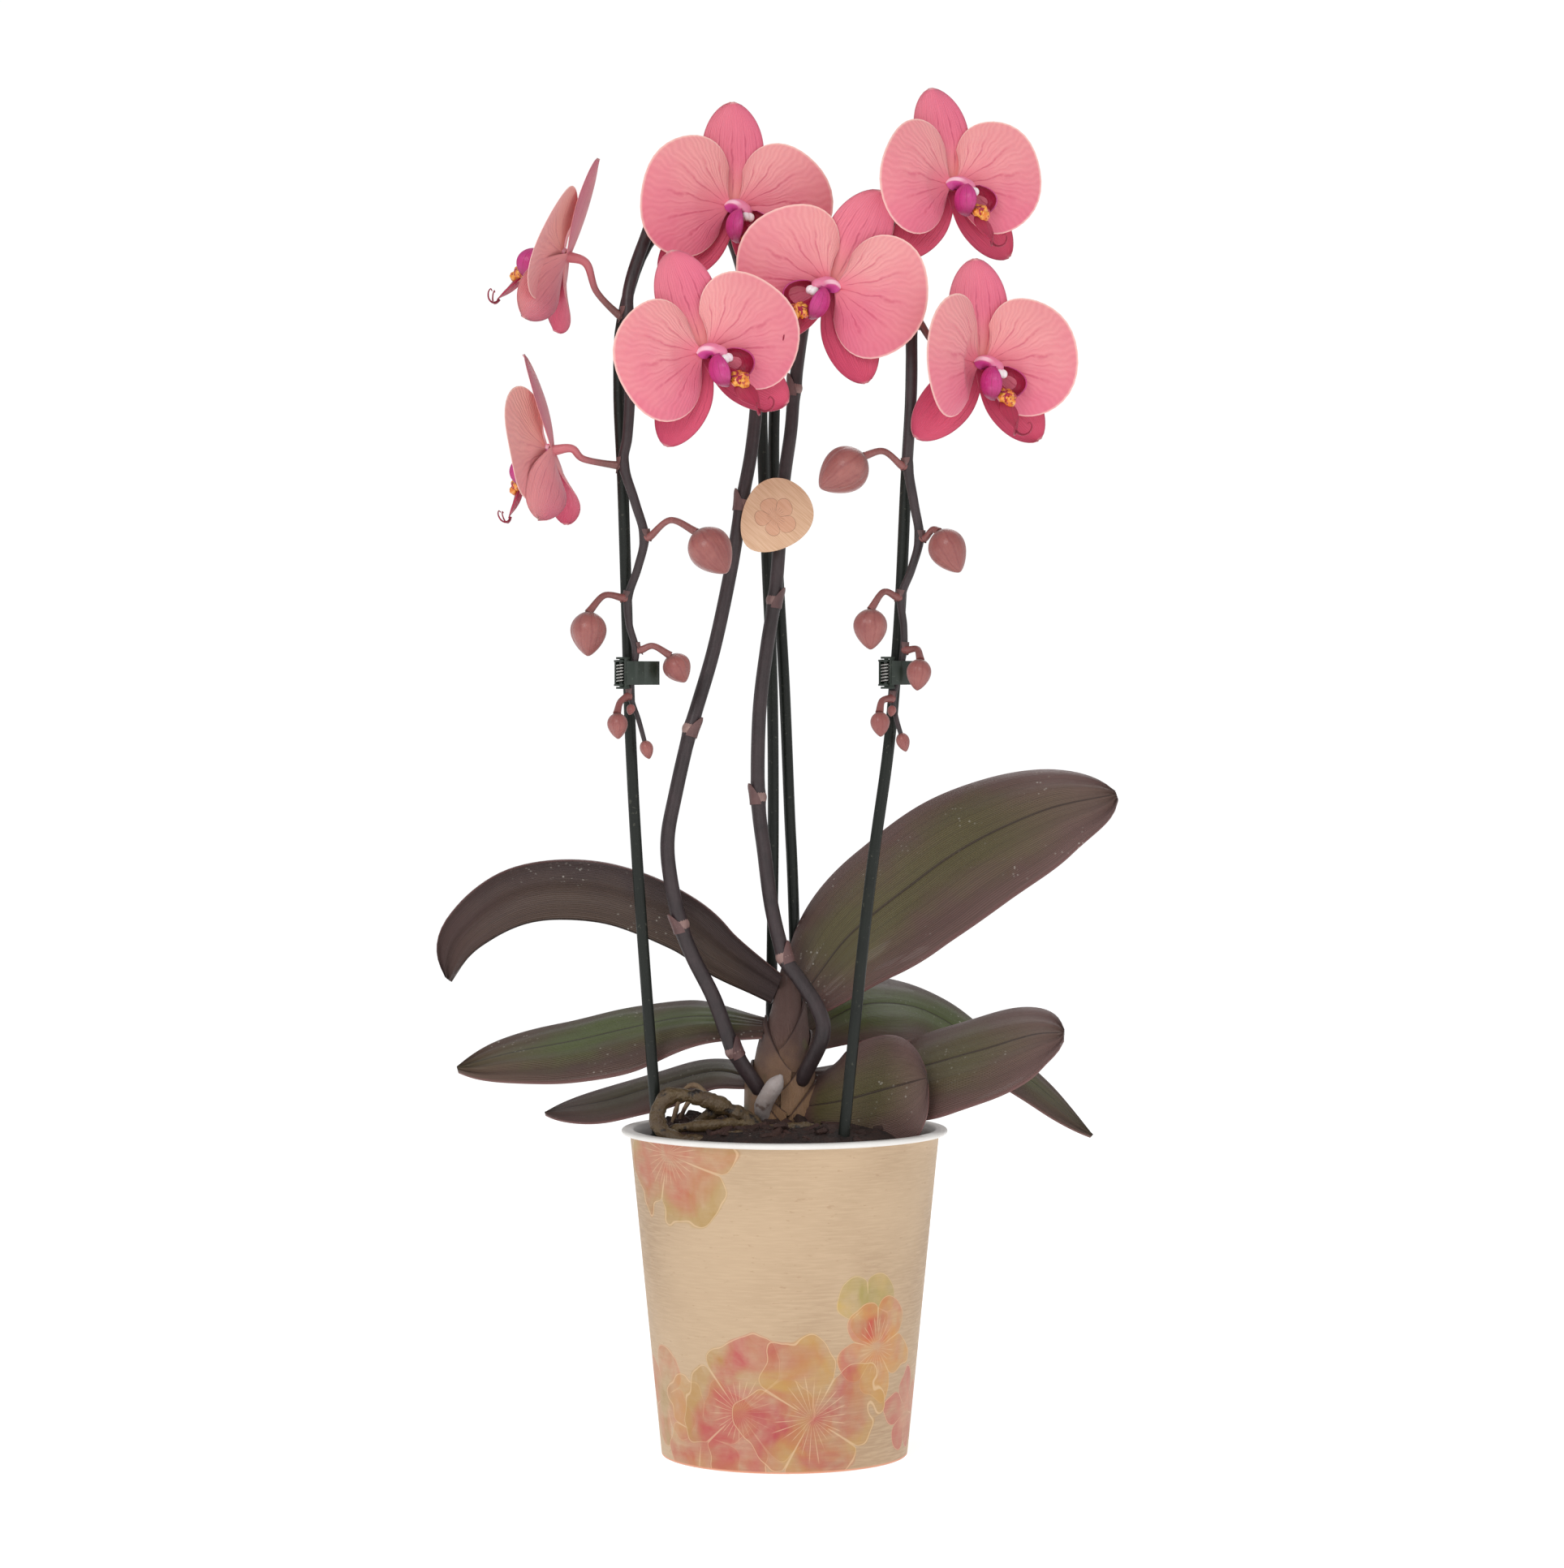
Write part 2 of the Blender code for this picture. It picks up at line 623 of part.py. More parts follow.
# Hub: the middle of the flower, in mm. Yaw turns it toward +X, pitch nods it, roll leans it
# to +X, and dorsal leans its upper sepal further. Cup bends both whorls forward. Left and right:
# how far each petal swings forward, in degrees. Node and bend: the stalk's route from the spike.
Flower = namedtuple("Flower", "name spike hub yaw pitch roll dorsal cup left right size node bend")
FLOWERS = [
    Flower("flower_1", "left", (-20, -34, 492), 8, 2, 4, -4, 0.04, 8, 8, 1.02,
           (-30, -15, 497), (-25, -26, 498)),
    Flower("flower_2", "left", (-30, -80, 432), 14, 6, -20, 0, 0.04, 12, 3, 1.00,
           (-60, -41, 425), (-46, -62, 428)),
    Flower("flower_3", "right", (18, -58, 459), -6, 4, 22, 6, 0.04, 8, 4, 1.02,
           (13, -11.5, 476), (18, -38, 468)),
    Flower("flower_4", "right", (65, -49, 499), 22, -2, -2, -9, 0.04, 14, 10, 0.95,
           (42, -40, 482), (55, -42, 494)),
    Flower("flower_5", "right", (76, -52, 430), 15, 4, 0, -4, 0.04, 38, 8, 1.00,
           (48.5, -49, 446), (60, -44, 436)),
    Flower("flower_6", "left", (-86, -40, 473), -97, -20, 0, 2, 0.10, 10, 10, 0.98,
           (-61, -39.5, 450), (-73, -39, 459)),
    Flower("flower_7", "left", (-92, -40, 397), -97, 6, 0, 0, 0.26, 10, 14, 0.95,
           (-62.5, -40, 392), (-78, -40, 394)),
]
PETAL_AXIS = 8  # degrees above level
PETAL_UPPER_SPREAD = 72
PETAL_LOWER_SPREAD = 74
LATERAL_ANGLE = 41  # degrees from straight down


def petal_point(along, across, cup, forward):
    """A point of the right petal: along 0 to 1 from its claw, across -1 to 1 from low to high.

    Forward is how far the petal swings toward the viewer, in degrees, past its claw.
    """
    spread = PETAL_UPPER_SPREAD if across > 0 else PETAL_LOWER_SPREAD
    fullness = 0.28 if across > 0 else 0.34
    edge = PETAL_REACH * math.cos(math.radians(88 * abs(across))) ** fullness
    root = HUB_RADIUS * 0.55
    reach = root + (edge - root) * along
    fan = 0.55 + 0.45 * math.sqrt(along)
    angle = math.radians(PETAL_AXIS + across * spread * fan)
    bulge = -0.0026 * math.sin(math.pi * along) * (1 - 0.7 * across**2)
    reflex = 0.0016 * along**3
    depth = bulge + reflex - cup * reach**2 / 0.04
    point = Vector((reach * math.cos(angle), depth, reach * math.sin(angle)))
    share = min(1, max(0, (reach - HUB_RADIUS) / PETAL_REACH * 3))
    return Matrix.Rotation(-math.radians(forward) * share, 3, "Z") @ point


def petal_grids(side, cup, forward, rows, columns):
    """Front and back grids of a petal. Side is 1 for the right one, -1 for the left one."""
    front = []
    back = []
    for row in range(rows):
        line = []
        for column in range(columns):
            across = math.sin(math.pi / 2 * (2 * column / (columns - 1) - 1))
            point = petal_point(row / (rows - 1), across, cup, forward)
            line.append(Vector((side * point.x, point.y, point.z)))
        front.append([point + Vector((0, -BLADE_THICKNESS / 2, 0)) for point in line])
        back.append([point + Vector((0, BLADE_THICKNESS / 2, 0)) for point in line])
    return front, back


def sepal_half_width(share, width):
    if share < 0.5:
        return width / 2 * (0.32 + 0.68 * math.sin(math.pi * share))
    return width / 2 * (1 - ((share - 0.5) / 0.5) ** 2.1) ** 0.6


def sepal_grids(degrees, reach, width, setback, cup, rows, columns):
    """Front and back grids of a sepal that points to the angle, 90 being up."""
    out = Vector((math.cos(math.radians(degrees)), 0, math.sin(math.radians(degrees))))
    beside = Vector((-out.z, 0, out.x))
    root = HUB_RADIUS * 0.5
    front = []
    back = []
    for row in range(rows):
        share = min(row / (rows - 1), 0.985)
        away = root + (reach - root) * share
        half = sepal_half_width(share, width)
        line = []
        for column in range(columns):
            place = 2 * column / (columns - 1) - 1
            depth = setback + 0.07 * away - 0.0010 * place**2 * math.sin(math.pi * share)
            depth -= cup * away**2 / 0.04
            line.append(out * away + beside * half * place + Vector((0, depth, 0)))
        front.append([point + Vector((0, -BLADE_THICKNESS / 2, 0)) for point in line])
        back.append([point + Vector((0, BLADE_THICKNESS / 2, 0)) for point in line])
    return front, back


def hub(middle):
    """The disc that joins a whorl, centred on the flower's axis at a depth."""
    turn = Matrix.Rotation(math.radians(90), 4, "X")
    shift = Matrix.Translation((0, middle, 0))
    return placed(disc(HUB_RADIUS, -HUB_THICKNESS / 2, HUB_THICKNESS / 2), shift @ turn)


def flower_matrix(flower):
    turn = Matrix.Rotation(math.radians(flower.yaw), 4, "Z")
    nod = Matrix.Rotation(math.radians(flower.pitch), 4, "X")
    lean = Matrix.Rotation(math.radians(flower.roll), 4, "Y")
    return Matrix.Translation(planted(*flower.hub)) @ turn @ nod @ lean @ Matrix.Scale(flower.size, 4)


def stalk(flower, inverse):
    """The flower's stalk in its own frame, from the spike to the back of the sepals."""
    bend = planted(*flower.bend)
    starts = stalk_start(planted(*flower.node), bend, SPIKES[flower.spike])
    end = Vector((0, SEPAL_SETBACK, 0))
    points = [inverse @ point for point in (*starts, bend)]
    route = smooth_route([*points, Vector((0, 0.010, 0)), end], 8)
    radii = [STALK_DIAMETER / 2] * 5 + [STALK_DIAMETER * 0.62] * 3
    return tube(route, radii, 6)


def make_sepals(flower, matrix):
    inverse = matrix.inverted()
    sepals = (
        (90 - flower.dorsal, DORSAL_REACH, DORSAL_WIDTH, SEPAL_SETBACK),
        (-90 + LATERAL_ANGLE, LATERAL_REACH, LATERAL_WIDTH, SEPAL_SETBACK + SEPAL_LAP),
        (-90 - LATERAL_ANGLE, LATERAL_REACH, LATERAL_WIDTH, SEPAL_SETBACK - SEPAL_LAP),
    )
    parts = [sheet(*sepal_grids(*sepal, flower.cup, 5, 3)) for sepal in sepals]
    parts.append(stalk(flower, inverse))
    mesh = combined(hub(SEPAL_SETBACK), parts, "UNION")
    add_object(flower.name + "_sepals", placed(mesh, matrix), SEPAL)


def make_petals(flower, matrix):
    parts = [
        sheet(*petal_grids(1, flower.cup, flower.right, 4, 8)),
        sheet(*petal_grids(-1, flower.cup, flower.left, 4, 8)),
    ]
    mesh = combined(hub(0), parts, "UNION")
    add_object(flower.name + "_petals", placed(mesh, matrix), PETAL)


def make_column(flower, matrix):
    start = -HUB_THICKNESS / 2 - GAP
    length = COLUMN_LENGTH
    shares = (0, 0.2, 0.45, 0.7, 0.9, 1)
    route = [Vector((0, start - length * s, 0.0016 - 0.0022 * s * s)) for s in shares]
    radii = [0.0020, 0.0021, 0.0024, 0.0028, 0.0024, 0.0012]
    add_object(flower.name + "_column", placed(tube(route, radii, 8), matrix), COLUMN)


def side_lobe(side):
    """One of the two cupped lobes beside the column, hollow toward the middle."""
    centre = Vector((0.0022, -0.0150, -0.0080))
    front = []
    back = []
    for row in range(4):
        rise = math.radians(-82 + 138 * row / 3)
        inner = []
        outer = []
        for column in range(4):
            turn = math.radians(-72 + 126 * column / 3)
            out = Vector((math.cos(turn) * math.cos(rise), math.sin(turn) * math.cos(rise), math.sin(rise)))
            out = Vector((out.x * LOBE_REACH, out.y * LOBE_LENGTH / 2, out.z * LOBE_HEIGHT / 2))
            for line, scale in ((inner, 0.90), (outer, 1.0)):
                spot = centre + out * scale
                line.append(Vector((side * spot.x, spot.y, spot.z)))
        front.append(outer)
        back.append(inner)
    return sheet(front, back)


def mid_lobe():
    """The hanging lobe of the lip: a narrow arrowhead under the callus."""
    front = []
    back = []
    for share, half in ((0, 0.0030), (0.35, 0.0042), (0.7, 0.0030), (1, 0.0012)):
        middle = Vector((0, -0.0160 - 0.0040 * share, LOBE_FOOT - MID_LOBE_LENGTH * share))
        line = [middle + Vector((half * place, 0.0010 * abs(place), 0)) for place in (-1, 0, 1)]
        front.append([point + Vector((0, -0.0006, 0)) for point in line])
        back.append([point + Vector((0, 0.0006, 0)) for point in line])
    return sheet(front, back)


def tendril(side):
    """One of the two threads that curl from the tip of the mid lobe."""
    tip = Vector((0, -0.0200, LOBE_FOOT - MID_LOBE_LENGTH))
    bends = [(0.4, 0, 0.9), (2.2, 1.4, -0.8), (4.2, 3.6, -1.0), (5.0, 4.8, 1.4), (4.2, 4.4, 3.2)]
    route = smooth_route([tip + mm(side * x, -y, z) for x, y, z in bends], 6)
    return tube(route, [0.0006, 0.0005, 0.0005, 0.0005, 0.0004, 0.0003], 4)


def make_lip(flower, matrix):
    start = -HUB_THICKNESS / 2 - LIP_STANDOFF
    route = [Vector((0, start, -0.0030)), Vector((0, -0.0060, -0.0075)), Vector((0, -0.0110, -0.0112)),
             Vector((0, -0.0168, -0.0125))]
    neck = tube(route, [0.0012, 0.0020, 0.0036, 0.0030], 7)
    parts = [side_lobe(1), side_lobe(-1), mid_lobe(), tendril(1), tendril(-1)]
    add_object(flower.name + "_lip", placed(combined(neck, parts, "UNION"), matrix), LIP)


def make_flower(flower):
    matrix = flower_matrix(flower)
    make_sepals(flower, matrix)
    make_petals(flower, matrix)
    make_column(flower, matrix)
    make_lip(flower, matrix)


# ---------------------------------------------------------------- clips

# Pin: the middle of the clip's hinge pin, in mm. Turn: degrees about Z.
CLIPS = [("clip_left", (-63.5, -34.5, 311), 40), ("clip_right", (39.3, -49.4, 311), 40)]
JAW_REACH = 0.0112  # from the pin to where the jaws meet
JAW_OPENING = 0.0104  # inside, across the two stems
TAB_LENGTH = 0.0022
SWING_CLEARANCE = 0.0004


def ribbon(points, thickness):
    """The outline of a strip of even thickness along a route in X and Y."""
    left = []
    right = []
    for index, (x, y) in enumerate(points):
        before = points[max(index - 1, 0)]
        after = points[min(index + 1, len(points) - 1)]
        run = math.hypot(after[0] - before[0], after[1] - before[1])
        nx = -(after[1] - before[1]) / run * thickness / 2
        ny = (after[0] - before[0]) / run * thickness / 2
        left.append((x + nx, y + ny))
        right.append((x - nx, y - ny))
    return left + right[::-1]


def jaw_route(side):
    """The jaw's curve seen from above, from beside the coil to its finger tab."""
    wide = JAW_OPENING / 2 + JAW_THICKNESS / 2
    stand = COIL_RADIUS + WIRE_DIAMETER / 2 + SWING_CLEARANCE + JAW_THICKNESS / 2
    return [
        (0.0, side * stand),
        (0.0016, side * (stand + 0.0022)),
        (0.0036, side * wide),
        (0.0068, side * wide),
        (JAW_REACH - 0.0012, side * wide * 0.62),
        (JAW_REACH, side * (JAW_THICKNESS / 2 + GAP)),
    ]


def jaw_plate(side):
    bow = bar(ribbon(jaw_route(side), JAW_THICKNESS), -JAW_HEIGHT / 2, JAW_HEIGHT / 2)
    wide = JAW_OPENING / 2 + JAW_THICKNESS / 2
    tab = [(0.0064, side * wide), (JAW_REACH, side * (wide + 0.0010)),
           (JAW_REACH + TAB_LENGTH, side * (wide + 0.0004))]
    plate = bar(ribbon(tab, JAW_THICKNESS), -JAW_HEIGHT / 2, JAW_HEIGHT / 2)
    return bow, plate


def lug(side, low, hole):
    """A flat lug over the coil that carries the jaw, with a hole for the pin if asked."""
    high = low + LUG_THICKNESS
    stand = COIL_RADIUS + WIRE_DIAMETER / 2 + SWING_CLEARANCE
    arm = bar(
        [(-0.0010, 0), (0.0012, 0), (0.0012, side * (stand + JAW_THICKNESS)),
         (-0.0010, side * (stand + JAW_THICKNESS))],
        low + 0.00005,
        high - 0.00005,
    )
    eye = combined(disc(LUG_RADIUS, low, high), [arm], "UNION")
    if hole:
        eye = combined(eye, [disc(PIN_RADIUS + GAP, low - 0.001, high + 0.001)], "DIFFERENCE")
    return eye


def make_jaw(side, lug_low, pinned):
    """One jaw. The front one carries the pin, and the back one swings on it."""
    bow, plate = jaw_plate(side)
    lugs = [lug(side, lug_low, not pinned), lug(side, -lug_low - LUG_THICKNESS, not pinned)]
    reach = lug_low + LUG_THICKNESS
    stand = COIL_RADIUS + WIRE_DIAMETER / 2 + SWING_CLEARANCE
    post = bar(
        [(-0.0008, side * (stand + 0.0001)), (0.0010, side * (stand + 0.0001)),
         (0.0010, side * (stand + JAW_THICKNESS - 0.0001)),
         (-0.0008, side * (stand + JAW_THICKNESS - 0.0001))],
        -reach + 0.0001,
        reach - 0.0001,
    )
    parts = [plate, post, *lugs]
    if pinned:
        parts.append(disc(PIN_RADIUS, -reach + 0.0002, reach - 0.0002))
    return combined(bow, parts, "UNION")


def make_coil():
    """The clip's torsion spring, wound about Z."""
    steps = 7
    count = COIL_TURNS * steps + 1
    route = []
    for number in range(count):
        angle = 2 * math.pi * number / steps
        height = (COIL_HEIGHT - WIRE_DIAMETER) * (number / (count - 1) - 0.5)
        route.append(Vector((COIL_RADIUS * math.cos(angle), COIL_RADIUS * math.sin(angle), height)))
    return tube(route, [WIRE_DIAMETER / 2] * count, 4)


def make_clips():
    swing_low = COIL_HEIGHT / 2 + GAP
    fixed_low = swing_low + LUG_THICKNESS + GAP
    front = make_jaw(-1, fixed_low, True)
    back = make_jaw(1, swing_low, False)
    coil = make_coil()
    for name, pin, turn in CLIPS:
        for piece, mesh, material in (
            ("front_jaw", front, CLIP_GREEN),
            ("back_jaw", back, CLIP_GREEN),
            ("spring", coil, STEEL),
        ):
            obj = add_object(f"{name}_{piece}", mesh.copy(), material)
            obj.location = planted(*pin)
            obj.rotation_euler.z = math.radians(turn)


# ---------------------------------------------------------------- tag

TAG_CENTRE = (-4, -13.3, 372.5)  # mm
TAG_TILT = 42  # degrees that the tag's long axis leans to +X


def make_tag():
    """An egg-shaped card, broad end up, in front of the two rising spikes."""
    outline = []
    for number in range(24):
        angle = 2 * math.pi * number / 24
        narrow = 1 + 0.16 * math.sin(angle)
        outline.append((TAG_WIDTH / 2 * math.cos(angle) * narrow, TAG_LENGTH / 2 * math.sin(angle)))
    card = bar(outline, -TAG_THICKNESS / 2, TAG_THICKNESS / 2)
    stand = Matrix.Rotation(math.radians(90), 4, "X")
    lean = Matrix.Rotation(math.radians(TAG_TILT), 4, "Y")
    add_object("tag", placed(card, Matrix.Translation(planted(*TAG_CENTRE)) @ lean @ stand), CARD)


# ---------------------------------------------------------------- materials


def material(name, colour, roughness, metallic=0.0):
    made = bpy.data.materials.new(name)
    made.use_nodes = True
    shader = made.node_tree.nodes["Principled BSDF"]
    shader.inputs["Base Color"].default_value = (*colour, 1)
    shader.inputs["Roughness"].default_value = roughness
    shader.inputs["Metallic"].default_value = metallic
    return made


for left_over in list(bpy.data.objects):
    bpy.data.objects.remove(left_over)

POT_WHITE = material("pot_white", (0.80, 0.78, 0.74), 0.35)
BARK = material("bark", (0.05, 0.03, 0.02), 0.9)
SHEATH = material("sheath", (0.18, 0.14, 0.07), 0.5)
ROOT = material("root", (0.16, 0.12, 0.06), 0.5)
DRY_ROOT = material("dry_root", (0.35, 0.27, 0.18), 0.8)
LEAF = material("leaf", (0.12, 0.12, 0.04), 0.35)
HOOP_GREEN = material("hoop_green", (0.02, 0.03, 0.02), 0.3)
SPIKE = material("spike", (0.10, 0.05, 0.05), 0.45)
BUD = material("bud", (0.40, 0.12, 0.10), 0.4)
SEPAL = material("sepal", (0.76, 0.20, 0.27), 0.45)
PETAL = material("petal", (0.84, 0.28, 0.32), 0.45)
COLUMN = material("column", (0.75, 0.25, 0.50), 0.4)
LIP = material("lip", (0.55, 0.05, 0.16), 0.35)
CLIP_GREEN = material("clip_green", (0.02, 0.04, 0.02), 0.4)
STEEL = material("steel", (0.55, 0.55, 0.55), 0.3, 1.0)
CARD = material("card", (0.78, 0.55, 0.36), 0.7)

make_pot()
make_bark((HOOP_LEFT, HOOP_RIGHT))
make_crown()
make_roots()
make_leaves()
make_hoop("hoop_left", HOOP_LEFT)
make_hoop("hoop_right", HOOP_RIGHT)
for side, spike in SPIKES.items():
    make_spike("spike_" + side, *spike)
for bud in BUDS:
    make_bud(bud)
for flower in FLOWERS:
    make_flower(flower)
make_clips()
make_tag()
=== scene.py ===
import math
import random
from collections import namedtuple

import bmesh
import bpy
from mathutils import Matrix, Vector, noise


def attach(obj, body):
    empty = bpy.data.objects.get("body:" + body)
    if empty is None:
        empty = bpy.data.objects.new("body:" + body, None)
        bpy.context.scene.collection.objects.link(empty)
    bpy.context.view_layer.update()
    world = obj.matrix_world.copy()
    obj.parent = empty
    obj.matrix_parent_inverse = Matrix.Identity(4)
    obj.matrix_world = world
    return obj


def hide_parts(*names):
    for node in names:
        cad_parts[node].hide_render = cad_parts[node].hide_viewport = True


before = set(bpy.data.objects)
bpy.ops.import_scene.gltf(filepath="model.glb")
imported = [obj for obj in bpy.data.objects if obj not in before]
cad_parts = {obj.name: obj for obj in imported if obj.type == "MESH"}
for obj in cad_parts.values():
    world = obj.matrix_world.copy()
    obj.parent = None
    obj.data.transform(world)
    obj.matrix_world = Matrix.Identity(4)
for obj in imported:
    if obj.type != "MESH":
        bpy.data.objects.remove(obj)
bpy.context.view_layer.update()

PLANT = "plant"
MM = 0.001

# Pot and bark
POT_HEIGHT = 0.130
POT_TOP_RADIUS = 0.06175
POT_FOOT_RADIUS = 0.049
RIM_RADIUS = 0.065
POT_WALL = 0.0016
POT_FLOOR = 0.003
POT_SIDES = 144
BARK_TOP = 0.120

# Stems
HOOP_RADIUS = 0.00225
SPIKE_FOOT_RADIUS = 0.0031
SPIKE_ARCH_RADIUS = 0.0023
SPIKE_TIP_RADIUS = 0.0009
STALK_RADIUS = 0.0012

# Flowers
PETAL_REACH = 0.0375
DORSAL_REACH = 0.0405
DORSAL_WIDTH = 0.0240
LATERAL_REACH = 0.0385
LATERAL_WIDTH = 0.0205
PETAL_THICKNESS = 0.00055
HUB_RADIUS = 0.0034
SEPAL_SETBACK = 0.0021

# Clips
COIL_TURNS = 6
COIL_HEIGHT = 0.0080
COIL_RADIUS = 0.0018
WIRE_RADIUS = 0.00035


def mm(*numbers):
    return Vector(numbers) * MM


def rgb(red, green, blue):
    """A screen colour of 0 to 255 a channel, as the linear colour that a socket takes."""
    linear = []
    for value in (red, green, blue):
        share = value / 255
        linear.append(share / 12.92 if share <= 0.04045 else ((share + 0.055) / 1.055) ** 2.4)
    return (*linear, 1.0)


# ---------------------------------------------------------------- node trees


def add(tree, kind, inputs=None, **settings):
    """A new node. Each input takes a value or the output socket that feeds it."""
    node = tree.nodes.new(kind)
    for name, value in settings.items():
        setattr(node, name, value)
    for name, value in (inputs or {}).items():
        if isinstance(value, bpy.types.NodeSocket):
            tree.links.new(value, node.inputs[name])
        else:
            node.inputs[name].default_value = value
    return node


def calc(tree, operation, first, second=0.0, third=0.0, clamp=False):
    values = {0: first, 1: second, 2: third}
    return add(tree, "ShaderNodeMath", values, operation=operation, use_clamp=clamp).outputs[0]


def step_up(tree, value, low, high):
    """0 below low, 1 above high, and smooth between them. High may be the lower one."""
    node = add(
        tree,
        "ShaderNodeMapRange",
        {"Value": value, "From Min": low, "From Max": high},
        interpolation_type="SMOOTHSTEP",
    )
    return node.outputs["Result"]


def tint(tree, share, plain, other, kind="MIX"):
    """The plain colour, turned into the other one where the share is 1."""
    node = add(tree, "ShaderNodeMix", data_type="RGBA", blend_type=kind)
    for index, value in ((0, share), (6, plain), (7, other)):
        if isinstance(value, bpy.types.NodeSocket):
            tree.links.new(value, node.inputs[index])
        else:
            node.inputs[index].default_value = value
    return node.outputs[2]


def glaze(tree, mask, strength, plain, other):
    """The plain colour under the other one, as strong as the mask times the strength."""
    return tint(tree, calc(tree, "MULTIPLY", mask, strength), plain, other)


def clouds(tree, where, scale, detail=3.0, distortion=0.0):
    values = {"Vector": where, "Scale": scale, "Detail": detail, "Distortion": distortion}
    return add(tree, "ShaderNodeTexNoise", values).outputs["Fac"]


def stretched(tree, where, scale, shift=(0, 0, 0)):
    values = {"Vector": where, "Scale": scale, "Location": shift}
    return add(tree, "ShaderNodeMapping", values).outputs["Vector"]


def new_group(name, kind, inputs, outputs):
    """An empty node group with named sockets: {name: (socket type, default)} and names."""
    group = bpy.data.node_groups.new(name, kind)
    for label, (socket, default) in inputs.items():
        made = group.interface.new_socket(label, in_out="INPUT", socket_type="NodeSocket" + socket)
        if default is not None:
            made.default_value = default
    for label, socket in outputs.items():
        group.interface.new_socket(label, in_out="OUTPUT", socket_type="NodeSocket" + socket)
    return group, group.nodes.new("NodeGroupInput").outputs, group.nodes.new("NodeGroupOutput").inputs


def use(tree, group, **inputs):
    """Places a shader group in a material. Its sockets are named as its inputs are."""
    node = tree.nodes.new("ShaderNodeGroup")
    node.node_tree = group
    for name, value in inputs.items():
        label = name.replace("_", " ")
        if isinstance(value, bpy.types.NodeSocket):
            tree.links.new(value, node.inputs[label])
        else:
            node.inputs[label].default_value = value
    return node.outputs


# ---------------------------------------------------------------- shared effects


def make_mottle():
    """Two scales of uneven tone, from -1 to 1, and a fine grain for bump and roughness."""
    group, given, out = new_group(
        "mottle",
        "ShaderNodeTree",
        {"Where": ("Vector", None), "Patch": ("Float", 60.0), "Grain": ("Float", 900.0)},
        {"Tone": "Float", "Grain": "Float"},
    )
    broad = clouds(group, given["Where"], given["Patch"], 2.0, 0.3)
    middle = clouds(group, given["Where"], calc(group, "MULTIPLY", given["Patch"], 4.3), 3.0)
    tone = calc(group, "MULTIPLY_ADD", broad, 2.6, calc(group, "MULTIPLY_ADD", middle, 1.2, -1.9))
    group.links.new(tone, out["Tone"])
    group.links.new(clouds(group, given["Where"], given["Grain"], 4.0), out["Grain"])
    return group


def make_veins():
    """Veins that run along a blade. Across is -1 to 1 and Along 0 to 1 in the blade's own map."""
    group, given, out = new_group(
        "veins",
        "ShaderNodeTree",
        {
            "Across": ("Float", 0.0),
            "Along": ("Float", 0.0),
            "Count": ("Float", 8.0),
            "Width": ("Float", 0.34),
            "Wander": ("Float", 0.10),
            "Start": ("Float", 0.05),
            "End": ("Float", 0.88),
            "Seed": ("Float", 0.0),
        },
        {"Veins": "Float", "Ribs": "Float"},
    )
    spot = add(
        group,
        "ShaderNodeCombineXYZ",
        {
            "X": calc(group, "MULTIPLY", given["Across"], 3.0),
            "Y": calc(group, "MULTIPLY", given["Along"], 2.4),
            "Z": given["Seed"],
        },
    ).outputs[0]
    drift = calc(group, "SUBTRACT", clouds(group, spot, 2.2, 2.0), 0.5)
    place = calc(group, "MULTIPLY_ADD", drift, given["Wander"], given["Across"])
    turns = calc(group, "MULTIPLY", place, given["Count"])

    def lines(scale, width):
        wave = calc(group, "SINE", calc(group, "MULTIPLY", turns, math.pi * scale))
        return step_up(group, calc(group, "ABSOLUTE", wave), width, 0.0)

    main = lines(0.5, given["Width"])
    minor = lines(1.5, calc(group, "MULTIPLY", given["Width"], 1.5))
    rise = step_up(group, given["Along"], given["Start"], calc(group, "ADD", given["Start"], 0.15))
    fall = step_up(group, given["Along"], given["End"], calc(group, "SUBTRACT", given["End"], 0.35))
    late = step_up(group, given["Along"], 0.25, 0.55)
    patchy = step_up(group, clouds(group, spot, 4.0, 2.0), 0.24, 0.54)
    body = calc(group, "MULTIPLY", calc(group, "MULTIPLY", rise, fall), patchy)
    minor = calc(group, "MULTIPLY", calc(group, "MULTIPLY", minor, late), 0.45)
    drawn = calc(group, "MULTIPLY", calc(group, "MAXIMUM", main, minor), body, clamp=True)
    group.links.new(drawn, out["Veins"])
    ribs = calc(group, "SINE", calc(group, "MULTIPLY", turns, math.pi * 5.0))
    group.links.new(calc(group, "MULTIPLY_ADD", ribs, 0.5, 0.5), out["Ribs"])
    return group


def make_dust():
    """Small scattered pale specks."""
    group, given, out = new_group(
        "dust",
        "ShaderNodeTree",
        {"Where": ("Vector", None), "Pitch": ("Float", 260.0), "Amount": ("Float", 0.1)},
        {"Specks": "Float"},
    )
    cells = add(group, "ShaderNodeTexVoronoi", {"Vector": given["Where"], "Scale": given["Pitch"]})
    dot = step_up(group, cells.outputs["Distance"], 0.24, 0.12)
    patch = clouds(group, given["Where"], 45.0, 2.0)
    chosen = step_up(group, patch, calc(group, "SUBTRACT", 0.72, given["Amount"]), 0.76)
    group.links.new(calc(group, "MULTIPLY", dot, chosen, clamp=True), out["Specks"])
    return group


